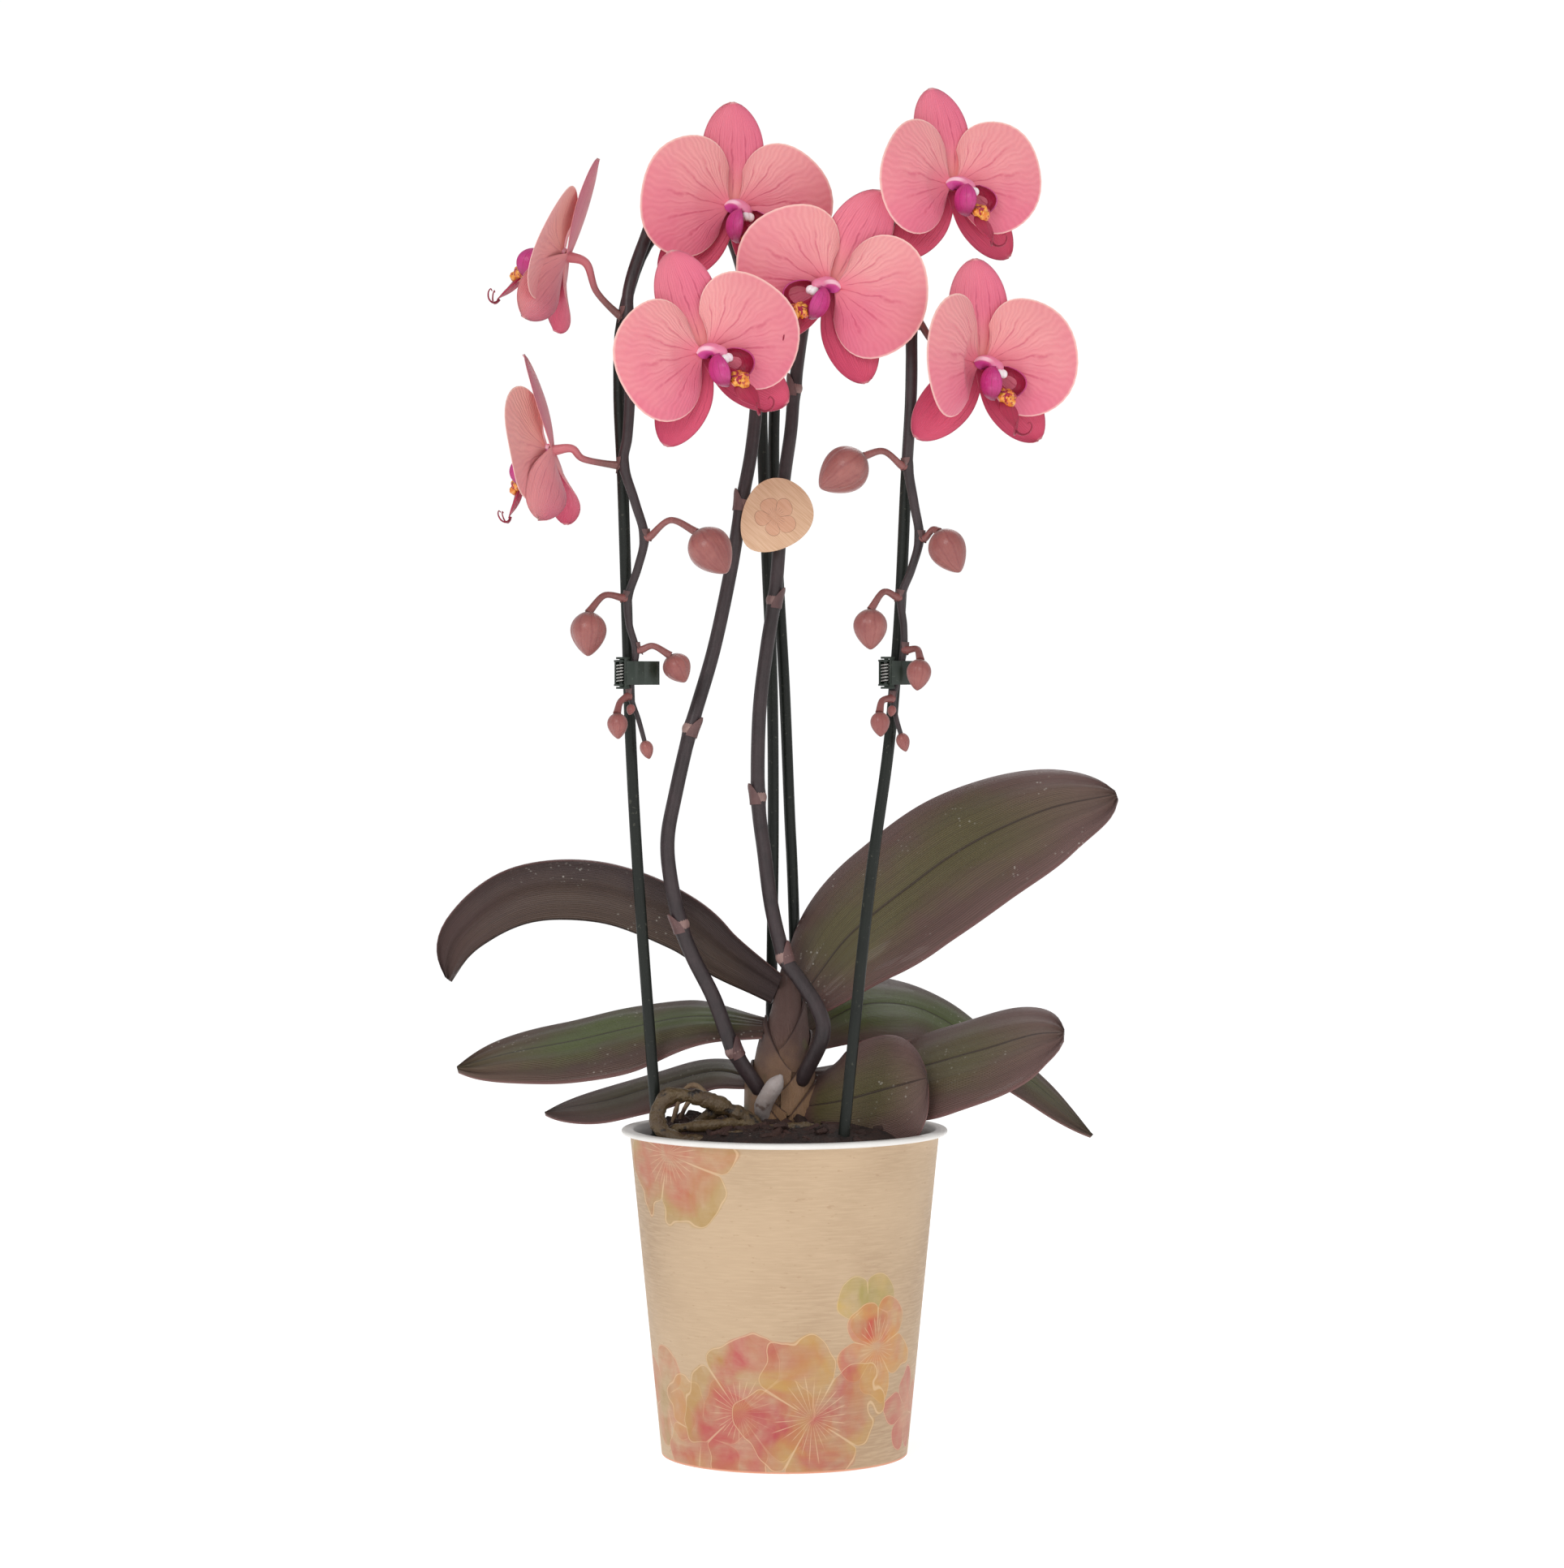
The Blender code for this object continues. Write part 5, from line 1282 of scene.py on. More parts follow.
def leaf_grids(leaf, rows, columns):
    """Upper and under faces of the leaf, creased along the midrib and rippled at the margins."""
    base = crown_side(leaf.height, leaf.azimuth, 0.0004)
    route = smooth_route([base] + [mm(*point) for point in leaf.route], rows)
    upper = []
    under = []
    for row, point in enumerate(route):
        share = min(row / (rows - 1), 0.9975)
        along = heading(route, row)
        near = along.cross(Vector((0, 0, 1)))
        near = (near if near.y < 0 else -near).normalized()
        over = near.cross(along)
        over = over if over.z > 0 else -over
        roll = math.radians(leaf.roll[0] + (leaf.roll[1] - leaf.roll[0]) * share)
        fold = math.radians(leaf.fold)
        half = leaf_half_width(leaf, share)
        top = []
        below = []
        for column in range(columns):
            place = 2 * column / (columns - 1) - 1  # -1 at the near margin, 1 at the far one
            angle = fold - roll if place < 0 else fold + roll
            side = near if place < 0 else -near
            reach = half * abs(place)
            arch = math.radians(LEAF_ARCH) * abs(place)
            spot = point + reach * (math.cos(angle - arch) * side + math.sin(angle - arch) * over)
            normal = math.cos(angle) * over - math.sin(angle) * side
            if place == 0:
                normal = math.cos(roll) * over + math.sin(roll) * near
            normal.normalize()
            crease = -0.0007 * max(0, 1 - abs(place) / 0.14) * (1 - share**3)
            ripple = leaf.wave * MM * place**2 * math.sin(11 * share + 2 * place + leaf.azimuth)
            pleat = 0.0007 * leaf.wave**3 * math.cos(15 * place)
            uneven = 0.0006 * noise.noise(spot * 45)
            spot = spot + normal * (crease + ripple + pleat + uneven)
            thick = LEAF_THICKNESS + (LEAF_MARGIN_THICKNESS - LEAF_THICKNESS) * abs(place)
            top.append(spot + normal * thick / 2)
            below.append(spot - normal * thick / 2)
        upper.append(top)
        under.append(below)
    return upper, under


def make_leaves():
    for leaf in LEAVES:
        skin = Skin()
        skin.sheet(*leaf_grids(leaf, LEAF_ROWS, LEAF_COLUMNS))
        faces = LEAF_FACES.get(leaf.name, (LEAF_TOP, LEAF_UNDER))
        show(skin.piece(leaf.name + "_blade", faces, sharp=70), PLANT, "leaf", leaf.name)


# ---------------------------------------------------------------- hoops and spikes

# From the outer leg's foot, up, over and down to the inner leg's foot.
HOOP_LEFT = [
    (-50, -16, 128), (-56, -22, 210), (-60, -27, 279), (-61.5, -30, 330), (-63, -33, 384),
    (-64.5, -34, 422), (-63, -32, 450), (-53, -23, 480), (-35, -8, 494), (-17, 2, 482),
    (-9, 6, 450), (-9, 8, 411), (-7, 9, 356), (-5, 11, 308), (-4.5, 15, 256), (-5, 20, 200),
    (-6, 25, 128),
]
HOOP_RIGHT = [
    (23, -41, 129), (31, -43, 210), (40, -43.5, 279), (43, -43.5, 311), (45, -43.5, 340),
    (47, -43, 384), (49, -42, 422), (48, -39, 452), (39, -29, 477), (25, -12, 487),
    (8, 2, 479), (-1, 9, 457), (-4, 14, 418), (-4, 15, 379), (-2, 16, 340), (0, 17, 305),
    (2, 20, 256), (4, 24, 207), (6, 29, 129),
]
SPIKE_LEFT = [
    (-20, -13, 162), (-28, -16, 183), (-36, -18, 199), (-41, -19, 212), (-45, -20, 231),
    (-46, -20, 246), (-43, -19, 263), (-37, -17, 289), (-28, -14, 320), (-21, -11, 353),
    (-17, -9, 378), (-13, -7, 400), (-11, -6, 424), (-13, -7, 452), (-21, -11, 483),
    (-35, -18, 499), (-48, -27, 494), (-55, -33, 478), (-60, -38, 462), (-61, -39.5, 450),
    (-60, -41, 422), (-61, -40, 403), (-62.5, -40, 392), (-58, -39.5, 377), (-54.5, -39, 364),
    (-57, -38, 352), (-61, -36.5, 340), (-60.5, -36, 330), (-58, -35.2, 320),
    (-59.2, -34.7, 310), (-60, -34.3, 302), (-57, -34, 293), (-54.5, -34, 284),
]
SPIKE_RIGHT = [
    (15, -17, 168), (13, -16, 179), (6, -14, 190), (0, -13, 199), (-5, -11, 218), (-8, -9, 240),
    (-10.5, -6, 262), (-10, -6, 295), (-7, -6, 321), (-4, -6, 340), (-2.5, -6, 356),
    (-0.5, -6, 385), (2.5, -6, 407), (4, -6, 424), (8, -8, 452), (14, -12, 478),
    (26, -23, 491), (38, -36, 487), (46, -45, 474), (48.5, -49, 457), (49, -50, 436),
    (49, -50, 420), (48, -50, 402), (47.5, -50, 391), (50, -50, 376), (52, -50, 363),
    (49, -50, 351), (45, -50, 340), (46, -50, 329), (46, -49.2, 320), (44.2, -49.0, 310),
    (42, -48.6, 301), (43, -49, 294), (45, -49, 287),
]
SPIKE_BASES = {"left": (0.026, 222), "right": (0.030, -48)}  # height on the crown, azimuth
SPIKE_LISTS = {"left": SPIKE_LEFT, "right": SPIKE_RIGHT}
# Joints of the spikes that carry no flower, each with a papery ring.
BARE_NODES = {
    "left": [(-20, -13, 162), (-41, -19, 212), (-37, -17, 289), (-17, -9, 378)],
    "right": [(0, -13, 199), (-10.5, -6, 262), (-4, -6, 340), (4, -6, 424)],
}
LEG_DEPTH = 0.080  # how far a hoop's leg goes into the bark
FLOWER_BRACT = 0.0062  # length of the pointed scale under a flower's stalk
BUD_BRACT = 0.0050
BARE_BRACT = 0.0085
NODE_SWELL = 0.16  # how much thicker the spike is at a joint, as a share of its radius
NODE_SPREAD = 0.0030  # how far along the spike that swelling reaches
RING_LIFT = 0.00018  # how far a papery ring stands off the spike


def hoop_route(points):
    """The hoop with both legs lengthened down into the bark."""
    points = [mm(*point) for point in points]
    for end, inward in ((0, 1), (-1, -2)):
        slope = (points[end] - points[inward]).normalized()
        points[end] = points[end] + slope * (points[end].z - BARK_TOP + LEG_DEPTH)
    return smooth_route(points, 150)


def spike_route(side, steps):
    start = crown_side(SPIKE_BASES[side][0], SPIKE_BASES[side][1], 0.0010)
    return curve_points([start] + [mm(*point) for point in SPIKE_LISTS[side]], steps)


def spike_radius(share):
    """Radius of the spike at a share of its length: thick foot, slim arch, thin tip."""
    if share < 0.6:
        return SPIKE_FOOT_RADIUS + (SPIKE_ARCH_RADIUS - SPIKE_FOOT_RADIUS) * share / 0.6
    return SPIKE_ARCH_RADIUS + (SPIKE_TIP_RADIUS - SPIKE_ARCH_RADIUS) * (share - 0.6) / 0.4


SPIKE_ROUTES = {side: spike_route(side, 8) for side in SPIKE_LISTS}


def spike_place(side, node):
    """Where the spike passes nearest to the node: its point, its direction and its radius."""
    route = SPIKE_ROUTES[side]
    index = min(range(len(route)), key=lambda number: (route[number] - node).length)
    return route[index], heading(route, index), spike_radius(index / (len(route) - 1))


def square_to(along, out):
    """The part of the direction out that is square to the stem, at unit length."""
    return (out - along * out.dot(along)).normalized()


def make_hoops():
    for name, points in (("hoop_left", HOOP_LEFT), ("hoop_right", HOOP_RIGHT)):
        route = hoop_route(points)
        wire = stems(name + "_wire", [(route, [HOOP_RADIUS] * len(route))], HOOP, 20)
        show(wire, PLANT, "hoop_green", name)


def bract(skin, side, node, toward, length, wrap=75):
    """A pointed scale that hugs the spike below a stalk, on the side that the stalk goes to."""
    centre, along, radius = spike_place(side, node)
    out = square_to(along, toward - centre)
    beside = along.cross(out)
    front = []
    back = []
    for row in range(9):
        share = row / 8
        for grid, lift in ((front, 0.00062), (back, 0.00020)):
            line = []
            for column in range(11):
                turn = math.radians(wrap) * (2 * column / 10 - 1) * (1 - 0.93 * share**1.6)
                reach = radius + lift + 0.0009 * share**2
                radial = math.cos(turn) * out + math.sin(turn) * beside
                line.append(centre + along * (length * share - 0.0030) + radial * reach)
            grid.append(line)
    skin.sheet(front, back, 0, 0)


def make_spikes():
    for side, route in SPIKE_ROUTES.items():
        carried = [mm(*flower.node) for flower in FLOWERS if flower.spike == side]
        carried += [mm(*bud.node) for bud in BUDS if bud.spike == side]
        bare = [mm(*point) for point in BARE_NODES[side]]
        joints = [spike_place(side, node)[0] for node in carried + bare]
        radii = []
        for index, point in enumerate(route):
            nearest = min((point - joint).length for joint in joints)
            swell = 1 + NODE_SWELL * math.exp(-((nearest / NODE_SPREAD) ** 2))
            radii.append(spike_radius(index / (len(route) - 1)) * swell)
        made = stems(f"spike_{side}_stem", [rounded(route, radii)], SPIKE, 18)
        show(made, PLANT, "spike", "spike_" + side)
        rings = []
        scales = Skin()
        for number, node in enumerate(bare):
            centre, along, radius = spike_place(side, node)
            thick = radius * (1 + NODE_SWELL) + RING_LIFT
            points = [centre + along * (0.0004 * step - 0.0011) for step in range(6)]
            rings.append(rounded(points, [thick * share for share in (0.97, 1.0, 1.02, 1.02, 1.01, 0.97)]))
            bract(scales, side, node, node + Vector(((-1) ** number, -0.7, 0)) * 0.02, BARE_BRACT)
        show(stems(f"spike_{side}_rings", rings, NODE_RING, 18), PLANT, "spike")
        for owners, length in ((FLOWERS, FLOWER_BRACT), (BUDS, BUD_BRACT)):
            for owner in owners:
                if owner.spike == side:
                    bract(scales, side, mm(*owner.node), mm(*owner.bend), length)
        show(scales.piece(f"spike_{side}_bracts", [BRACT]), PLANT, "spike")


# ---------------------------------------------------------------- buds

# Node: the point of the spike where the stalk starts. Bend: a point that the stalk goes through.
# Foot and tip: two points on the bud's axis, the first a tenth of the way up it. All in mm.
Bud = namedtuple("Bud", "name spike node bend foot tip length width")
BUDS = [
    Bud("bud_left_1", "left", (-54.5, -39, 364), (-44, -47, 370), (-33, -52, 364),
        (-24, -54, 352), 20, 17),
    Bud("bud_left_2", "left", (-61, -36.5, 340), (-70, -42, 341), (-76, -46, 333),
        (-76, -47, 318), 17, 14),
    Bud("bud_left_3", "left", (-58, -35.2, 320), (-51, -36, 321.5), (-44, -36, 317),
        (-39, -35, 308), 12, 11),
    Bud("bud_left_4", "left", (-60, -34.5, 302), (-64, -38.5, 299.5), (-65, -42, 294.5),
        (-64.5, -42, 285), 10, 8),
    Bud("bud_right_1", "right", (47.5, -50, 391), (38, -57, 396), (29, -61, 393),
        (14, -63, 382), 21, 18),
    Bud("bud_right_2", "right", (52, -50, 363), (57, -54, 366), (60, -57, 364),
        (67, -60, 350), 18, 14.5),
    Bud("bud_right_3", "right", (45, -50, 340), (38, -56, 342), (33, -59, 334),
        (33, -60, 318), 15.5, 13),
    Bud("bud_right_4", "right", (46, -49.2, 320), (51, -56, 320), (52, -61, 315),
        (50.5, -62, 302), 12, 9.5),
    Bud("bud_right_5", "right", (42, -49, 301), (37.5, -54, 300), (36.5, -57, 295),
        (37, -58, 286), 9.5, 7.5),
]


BUD_SIDES = 48
BUD_FOOT = 0.10  # how far up the bud its given foot lies, as a share of its length
TIP_BUD = (0.0076, 0.0052)  # length and width of the bud that ends a spike
LOW_TIP_BUD = (0.0050, 0.0034)  # and of the one below it


def bud_shell(skin, base, axis, length, width, seed):
    """A plump teardrop of folded sepals, with three seams that meet at a blunt tip."""
    side = axis.orthogonal().normalized()
    other = axis.cross(side)
    rings = []
    for row in range(30):
        share = 0.006 + 0.988 * (1 - math.cos(math.pi * row / 29)) / 2
        body = math.sin(math.pi * share**0.80) ** 0.64 * (1 - 0.08 * share**3)
        ring = []
        for angle in turns_round(BUD_SIDES):
            seam = 0.0
            for third in range(3):
                off = (angle - seed - third * 2 * math.pi / 3 + math.pi) % (2 * math.pi) - math.pi
                seam += math.exp(-((off / 0.085) ** 2)) - 0.35 * math.exp(-(((off - 0.24) / 0.14) ** 2))
            puff = 1 + 0.035 * math.cos(3 * (angle - seed) + math.pi)
            groove = 1 - 0.060 * seam * math.sin(math.pi * share) ** 0.5
            reach = width / 2 * body * puff * groove
            point = base + axis * length * share
            ring.append(point + reach * (math.cos(angle) * side + math.sin(angle) * other))
        rings.append(ring)
    skin.loft(rings)


def stalk_start(side, node, toward):
    """The first two points of a stalk, square to the spike on the side that it goes to."""
    centre, along, radius = spike_place(side, node)
    out = square_to(along, toward - centre)
    return [centre + out * radius * 0.6, centre + out * (radius + 0.0012)]


def stalk_radii(count, foot, head):
    """Swollen where the stalk leaves the spike, then slim, then widening to the head."""
    radii = []
    for index in range(count):
        share = index / (count - 1)
        radii.append(STALK_RADIUS * (1 + foot * (1 - share) ** 5 + head * share**3))
    return radii


def make_buds():
    stalks = []
    for number, bud in enumerate(BUDS):
        node, bend, foot = mm(*bud.node), mm(*bud.bend), mm(*bud.foot)
        axis = (mm(*bud.tip) - foot).normalized()
        length = bud.length * MM
        base = foot - axis * length * BUD_FOOT
        points = [*stalk_start(bud.spike, node, bend), bend, base + axis * length * 0.03]
        stalks.append((smooth_route(points, 26), stalk_radii(26, 0.45, 0.35)))
        skin = Skin()
        bud_shell(skin, base, axis, length * 1.02, bud.width * MM, 0.7 + 1.9 * number)
        show(skin.piece(bud.name + "_shell", [BUD]), PLANT, "bud", bud.name)
    show(stems("bud_stalks", stalks, BUD_STALK, 14), PLANT, "bud")
    skin = Skin()
    for route in SPIKE_ROUTES.values():
        axis = (route[-1] - route[-4]).normalized()
        bud_shell(skin, route[-1] - axis * 0.0008, axis, *TIP_BUD, 0.4)
        beside = (axis.orthogonal() + Vector((0, -0.5, 0))).normalized()
        low = route[-14]
        bud_shell(skin, low + beside * 0.0006, (beside + axis).normalized(), *LOW_TIP_BUD, 1.4)
    show(skin.piece("tip_buds", [BUD]), PLANT, "bud")


# ---------------------------------------------------------------- flowers

# Hub: the middle of the flower, in mm. Yaw turns it toward +X, pitch nods it, roll leans it
# to +X, and dorsal leans its upper sepal further. Cup bends both whorls forward. Left and right:
# how far each petal swings forward, in degrees. Node and bend: the stalk's route from the spike.
# Face: how far the column and the lip turn away from the flower's own axis, toward +X. Sweep: how
# far the right and the left lower sepals swing back. Twist: how far each turns about its length,
# its outer edge forward.
Flower = namedtuple(
    "Flower", "name spike hub yaw pitch roll dorsal cup left right size node bend face sweep twist"
)
FLOWERS = [
    Flower("flower_1", "left", (-20, -34, 492), 8, 2, 4, -4, 0.04, 8, 8, 1.02,
           (-30, -15, 497), (-25, -26, 498), 28, (0, 0), (0, 0)),
    Flower("flower_2", "left", (-30, -80, 432), 14, 6, -20, 0, 0.04, 12, 3, 1.00,
           (-60, -41, 425), (-46, -62, 428), 32, (0, 0), (0, 0)),
    Flower("flower_3", "right", (18, -58, 459), -6, 4, 22, 6, 0.04, 8, 4, 1.02,
           (13, -11.5, 476), (18, -38, 468), -32, (0, 0), (0, 0)),
    Flower("flower_4", "right", (65, -49, 499), 22, -2, -2, -9, 0.04, 14, 10, 0.95,
           (42, -40, 482), (55, -42, 494), 28, (0, 0), (0, 0)),
    Flower("flower_5", "right", (76, -52, 430), 15, 4, 0, -4, 0.04, 38, 8, 1.00,
           (48.5, -49, 446), (60, -44, 436), 30, (0, 0), (0, 0)),
    Flower("flower_6", "left", (-86, -40, 473), -97, -20, 0, 2, 0.10, 10, 3, 0.98,
           (-61, -39.5, 450), (-73, -39, 459), 0, (-4, 2), (58, 60)),
    Flower("flower_7", "left", (-92, -40, 397), -97, 6, 0, 0, 0.26, 10, 4, 0.95,
           (-62.5, -40, 392), (-78, -40, 394), 0, (4, 8), (52, 60)),
]
PETAL_AXIS = 8  # degrees above level
PETAL_UPPER_SPREAD = 72
PETAL_LOWER_SPREAD = 74
LATERAL_ANGLE = 41  # degrees from straight down
SEPAL_GRID = (34, 19)  # rows along the blade, columns across it
PETAL_GRID = (40, 37)
LOBE_GRID = (20, 17)


def petal_point(along, across, cup, forward, seed):
    """A point of the right petal: along 0 to 1 from its claw, across -1 to 1 from low to high."""
    spread = PETAL_UPPER_SPREAD if across > 0 else PETAL_LOWER_SPREAD
    fullness = 0.28 if across > 0 else 0.34
    uneven = 1 + 0.014 * math.sin(4.3 * across + 1.7 * seed) + 0.008 * math.sin(9.1 * across + seed)
    edge = PETAL_REACH * math.cos(math.radians(88 * abs(across))) ** fullness * uneven
    root = HUB_RADIUS * 0.35
    reach = root + (edge - root) * along
    fan = 0.55 + 0.45 * math.sqrt(along)
    angle = math.radians(PETAL_AXIS + across * spread * fan)
    bulge = -0.0026 * math.sin(math.pi * along) * (1 - 0.7 * across**2)
    reflex = 0.0016 * along**3
    ripple = 0.0007 * along**4 * math.sin(6.0 * across + 2.1 * seed)
    keel = 0.0006 * math.exp(-((across / 0.12) ** 2)) * (1 - along)
    depth = bulge + reflex + ripple + keel - cup * reach**2 / 0.04
    point = Vector((reach * math.cos(angle), depth, reach * math.sin(angle)))
    share = min(1, max(0, (reach - HUB_RADIUS) / PETAL_REACH * 3))
    return Matrix.Rotation(-math.radians(forward) * share, 3, "Z") @ point


def sepal_half_width(share, width):
    """Half of the blade's width at a share of its length, widest half-way."""
    if share < 0.5:
        return width / 2 * (0.32 + 0.68 * math.sin(math.pi * share))
    return width / 2 * max(0, 1 - ((share - 0.5) / 0.5) ** 2.1) ** 0.6


def sepal_spot(degrees, reach, width, cup, seed, sweep=0, twist=0):
    """The surface of a sepal that points to the angle, 90 being up."""
    out = Vector((math.cos(math.radians(degrees)), 0, math.sin(math.radians(degrees))))
    beside = Vector((-out.z, 0, out.x))
    root = HUB_RADIUS * 0.3
    swing = Matrix.Rotation(math.radians(sweep), 3, beside)

    def spot(share, place):
        share = min(share, 0.997)
        away = root + (reach - root) * share
        half = sepal_half_width(share, width)
        depth = SEPAL_SETBACK + 0.07 * away - 0.0016 * place**2 * math.sin(math.pi * share)
        depth += 0.0005 * math.exp(-((place / 0.10) ** 2)) * (1 - share)
        depth += 0.0006 * share**3 * math.sin(3.2 * place + 1.7 * seed)
        depth -= cup * away**2 / 0.04
        turn = Matrix.Rotation(math.radians(twist) * math.sin(math.pi / 2 * share), 3, out)
        middle = out * away + Vector((0, depth, 0))
        return swing @ (middle + turn @ (beside * half * place))

    return spot


def flower_matrix(flower):
    """From the flower's own axes, where it faces -Y, to its place on the plant."""
    turn = Matrix.Rotation(math.radians(flower.yaw), 4, "Z")
    nod = Matrix.Rotation(math.radians(flower.pitch), 4, "X")
    lean = Matrix.Rotation(math.radians(flower.roll), 4, "Y")
    return Matrix.Translation(mm(*flower.hub)) @ turn @ nod @ lean @ Matrix.Scale(flower.size, 4)


def make_sepals(flower, matrix, seed):
    skin = Skin()
    sepals = (
        (90 - flower.dorsal, DORSAL_REACH, DORSAL_WIDTH, 0, 0, 0),
        (-90 + LATERAL_ANGLE, LATERAL_REACH, LATERAL_WIDTH, 1, flower.sweep[0], flower.twist[0]),
        (-90 - LATERAL_ANGLE, LATERAL_REACH, LATERAL_WIDTH, 1, flower.sweep[1], -flower.twist[1]),
    )
    for number, (degrees, reach, width, slot, sweep, twist) in enumerate(sepals):
        spot = sepal_spot(degrees, reach, width, flower.cup, seed + number, sweep, twist)
        skin.sheet(*blade_grids(spot, *SEPAL_GRID, PETAL_THICKNESS), slot, 2)
    made = skin.piece(flower.name + "_sepal_blades", [DORSAL, LATERAL, SEPAL_BACK], matrix)
    show(made, PLANT, "sepal", flower.name + "_sepals")


def make_petals(flower, matrix, seed):
    skin = Skin()
    for side, forward in ((1, flower.right), (-1, flower.left)):

        def spot(along, across):
            point = petal_point(along, across, flower.cup, forward, seed + side)
            return Vector((side * point.x, point.y, point.z))

        skin.sheet(*blade_grids(spot, *PETAL_GRID, PETAL_THICKNESS), 0, 1)
    made = skin.piece(flower.name + "_petal_blades", [PETAL, PETAL_BACK], matrix)
    show(made, PLANT, "petal", flower.name + "_petals")


def oval_rings(route, widths, heights, sides=28):
    """Rings about a route that runs forward, the first point of each underneath."""
    rings = []
    for index, point in enumerate(route):
        along = heading(route, index)
        up = along.cross(Vector((1, 0, 0))).normalized()
        up = up if up.z > 0 else -up
        ring = []
        for turn in turns_round(sides):
            angle = turn - math.pi / 2
            wide = Vector((1, 0, 0)) * math.cos(angle) * widths[index]
            ring.append(point + wide + up * math.sin(angle) * heights[index])
        rings.append(ring)
    return rings


def make_column(flower, matrix):
    """The hooded column, arched over the lip, with its pale two-lobed cap."""
    skin = Skin()
    spine = [(0, 0.8, 0.2), (0, -1.4, 0.9), (0, -3.8, 0.8), (0, -6.2, 0.0), (0, -8.2, -1.4),
             (0, -9.6, -2.9)]
    route = mm_route(spine, 22)
    widths = []
    heights = []
    for number in range(22):
        share = number / 21
        widths.append(0.0036 - 0.0021 * share + 0.0010 * math.exp(-(((share - 0.80) / 0.14) ** 2)))
        heights.append(0.0027 - 0.0010 * share + 0.0003 * math.exp(-(((share - 0.80) / 0.14) ** 2)))
    widths[-1] *= 0.75
    heights[-1] *= 0.75
    skin.loft(oval_rings(route, widths, heights), 0)
    for side in (-1, 1):
        start = mm(side * 0.9, -9.1, -2.4)
        end = mm(side * 0.8, -11.4, -5.2)
        cap = [start.lerp(end, number / 9) for number in range(10)]
        swell = [0.0019 * math.sin(math.pi * (0.06 + 0.88 * number / 9)) ** 0.6 for number in range(10)]
        skin.loft(oval_rings(cap, swell, [size * 0.85 for size in swell], 16), 1)
    made = skin.piece(flower.name + "_column_hood", [COLUMN, CAP], matrix)
    show(made, PLANT, "column", flower.name + "_column")


# How wide a side lobe flares: on the side that the lip turns to, on the other, and straight on.
NEAR_SPREAD = 0.42
FAR_SPREAD = 0.16
EVEN_SPREAD = 0.25


def side_lobe(skin, side, spread, seed):
    """A round lobe beside the column: magenta outside, crimson inside, spreading forward."""

    def spot(share, place):
        level = math.radians(66) * (2 * share - 1)
        round_off = max(0.16, 1 - (2 * share - 1) ** 2) ** 0.5
        turn = math.radians(62) * place * round_off
        wave = 0.5 * place**2 * math.sin(5 * share + seed)
        out = (6.6 + wave) * math.cos(level) * math.cos(turn)
        ahead = 7.0 * math.cos(level) * math.sin(turn)
        flare = spread * (6.0 - ahead)
        return mm(side * (0.2 + out + flare * math.cos(level)), -9.2 + ahead, -7.4 + 7.0 * math.sin(level))

    outer, inner = blade_grids(spot, *LOBE_GRID, 0.0007, mm(0, -8.0, -7.4))
    skin.sheet(outer, inner, 0, 1)


def mid_lobe_spot(share, place):
    """The hanging lobe of the lip: an arrowhead with a keel, its tip curled forward."""
    half = 2.4 + 4.0 * math.sin(math.pi * min(1, share * 0.95)) ** 1.2 * (1 - 0.30 * share) - 1.6 * share
    x = half * place
    y = -13.6 - 4.6 * share**1.4 + 1.6 * abs(place) * (1 - share) - 0.8 * (1 - abs(place))
    z = -13.4 - 12.0 * share + 1.4 * abs(place) * share
    return mm(x, y, z)


def tendril_route(side):
    """One of the two threads that curl from the tip of the hanging lobe."""
    bends = [(0.2, -18.0, -25.0), (0.9, -18.8, -26.4), (2.6, -20.0, -27.0), (4.3, -21.4, -26.0),
             (4.8, -22.2, -23.8), (3.9, -22.0, -22.2), (2.9, -21.4, -22.8)]
    return mm_route([(side * x, y, z) for x, y, z in bends], 30)


def make_lip(flower, matrix, seed):
    skin = Skin()
    neck = mm_route([(0, -1.0, -2.6), (0, -4.5, -6.0), (0, -8.5, -9.6), (0, -13.5, -12.2),
                     (0, -15.4, -13.0)], 16)
    wide = [0.0014 + 0.0022 * math.sin(math.pi * 0.62 * number / 15) for number in range(16)]
    skin.loft(oval_rings(neck, wide, [size * 0.55 for size in wide], 20), 1)
    for side in (1, -1):
        turned_to = side * flower.face
        spread = NEAR_SPREAD if turned_to > 0 else FAR_SPREAD if turned_to < 0 else EVEN_SPREAD
        side_lobe(skin, side, spread, seed + side)
    skin.sheet(*blade_grids(mid_lobe_spot, *LOBE_GRID, 0.0009), 1, 1)
    for side in (1, -1):
        route = tendril_route(side)
        skin.tube(route, [0.00050 - 0.00028 * number / 29 for number in range(30)], 8, 1)
    lumps = [(-2.1, -13.4, -12.8, 2.2), (2.1, -13.4, -12.8, 2.2), (0, -14.9, -14.2, 2.3),
             (-1.1, -12.4, -11.0, 1.7), (1.1, -12.4, -11.0, 1.7), (0, -14.8, -11.8, 1.7)]
    for x, y, z, size in lumps:
        poles = [mm(x, y + size * 0.95 * math.cos(math.pi * (0.02 + 0.96 * n / 11)), z) for n in range(12)]
        swell = [size * MM * math.sin(math.pi * (0.02 + 0.96 * n / 11)) for n in range(12)]
        rings = oval_rings(poles, swell, swell, 18)
        for ring in rings:
            for point in ring:
                point += (point - mm(x, y, z)) * 0.30 * noise.noise(point * 900)
        skin.loft(rings, 2)
    made = skin.piece(flower.name + "_lip_lobes", [LOBE_OUTER, LOBE_INNER, CALLUS], matrix)
    show(made, PLANT, "lip", flower.name + "_lip")


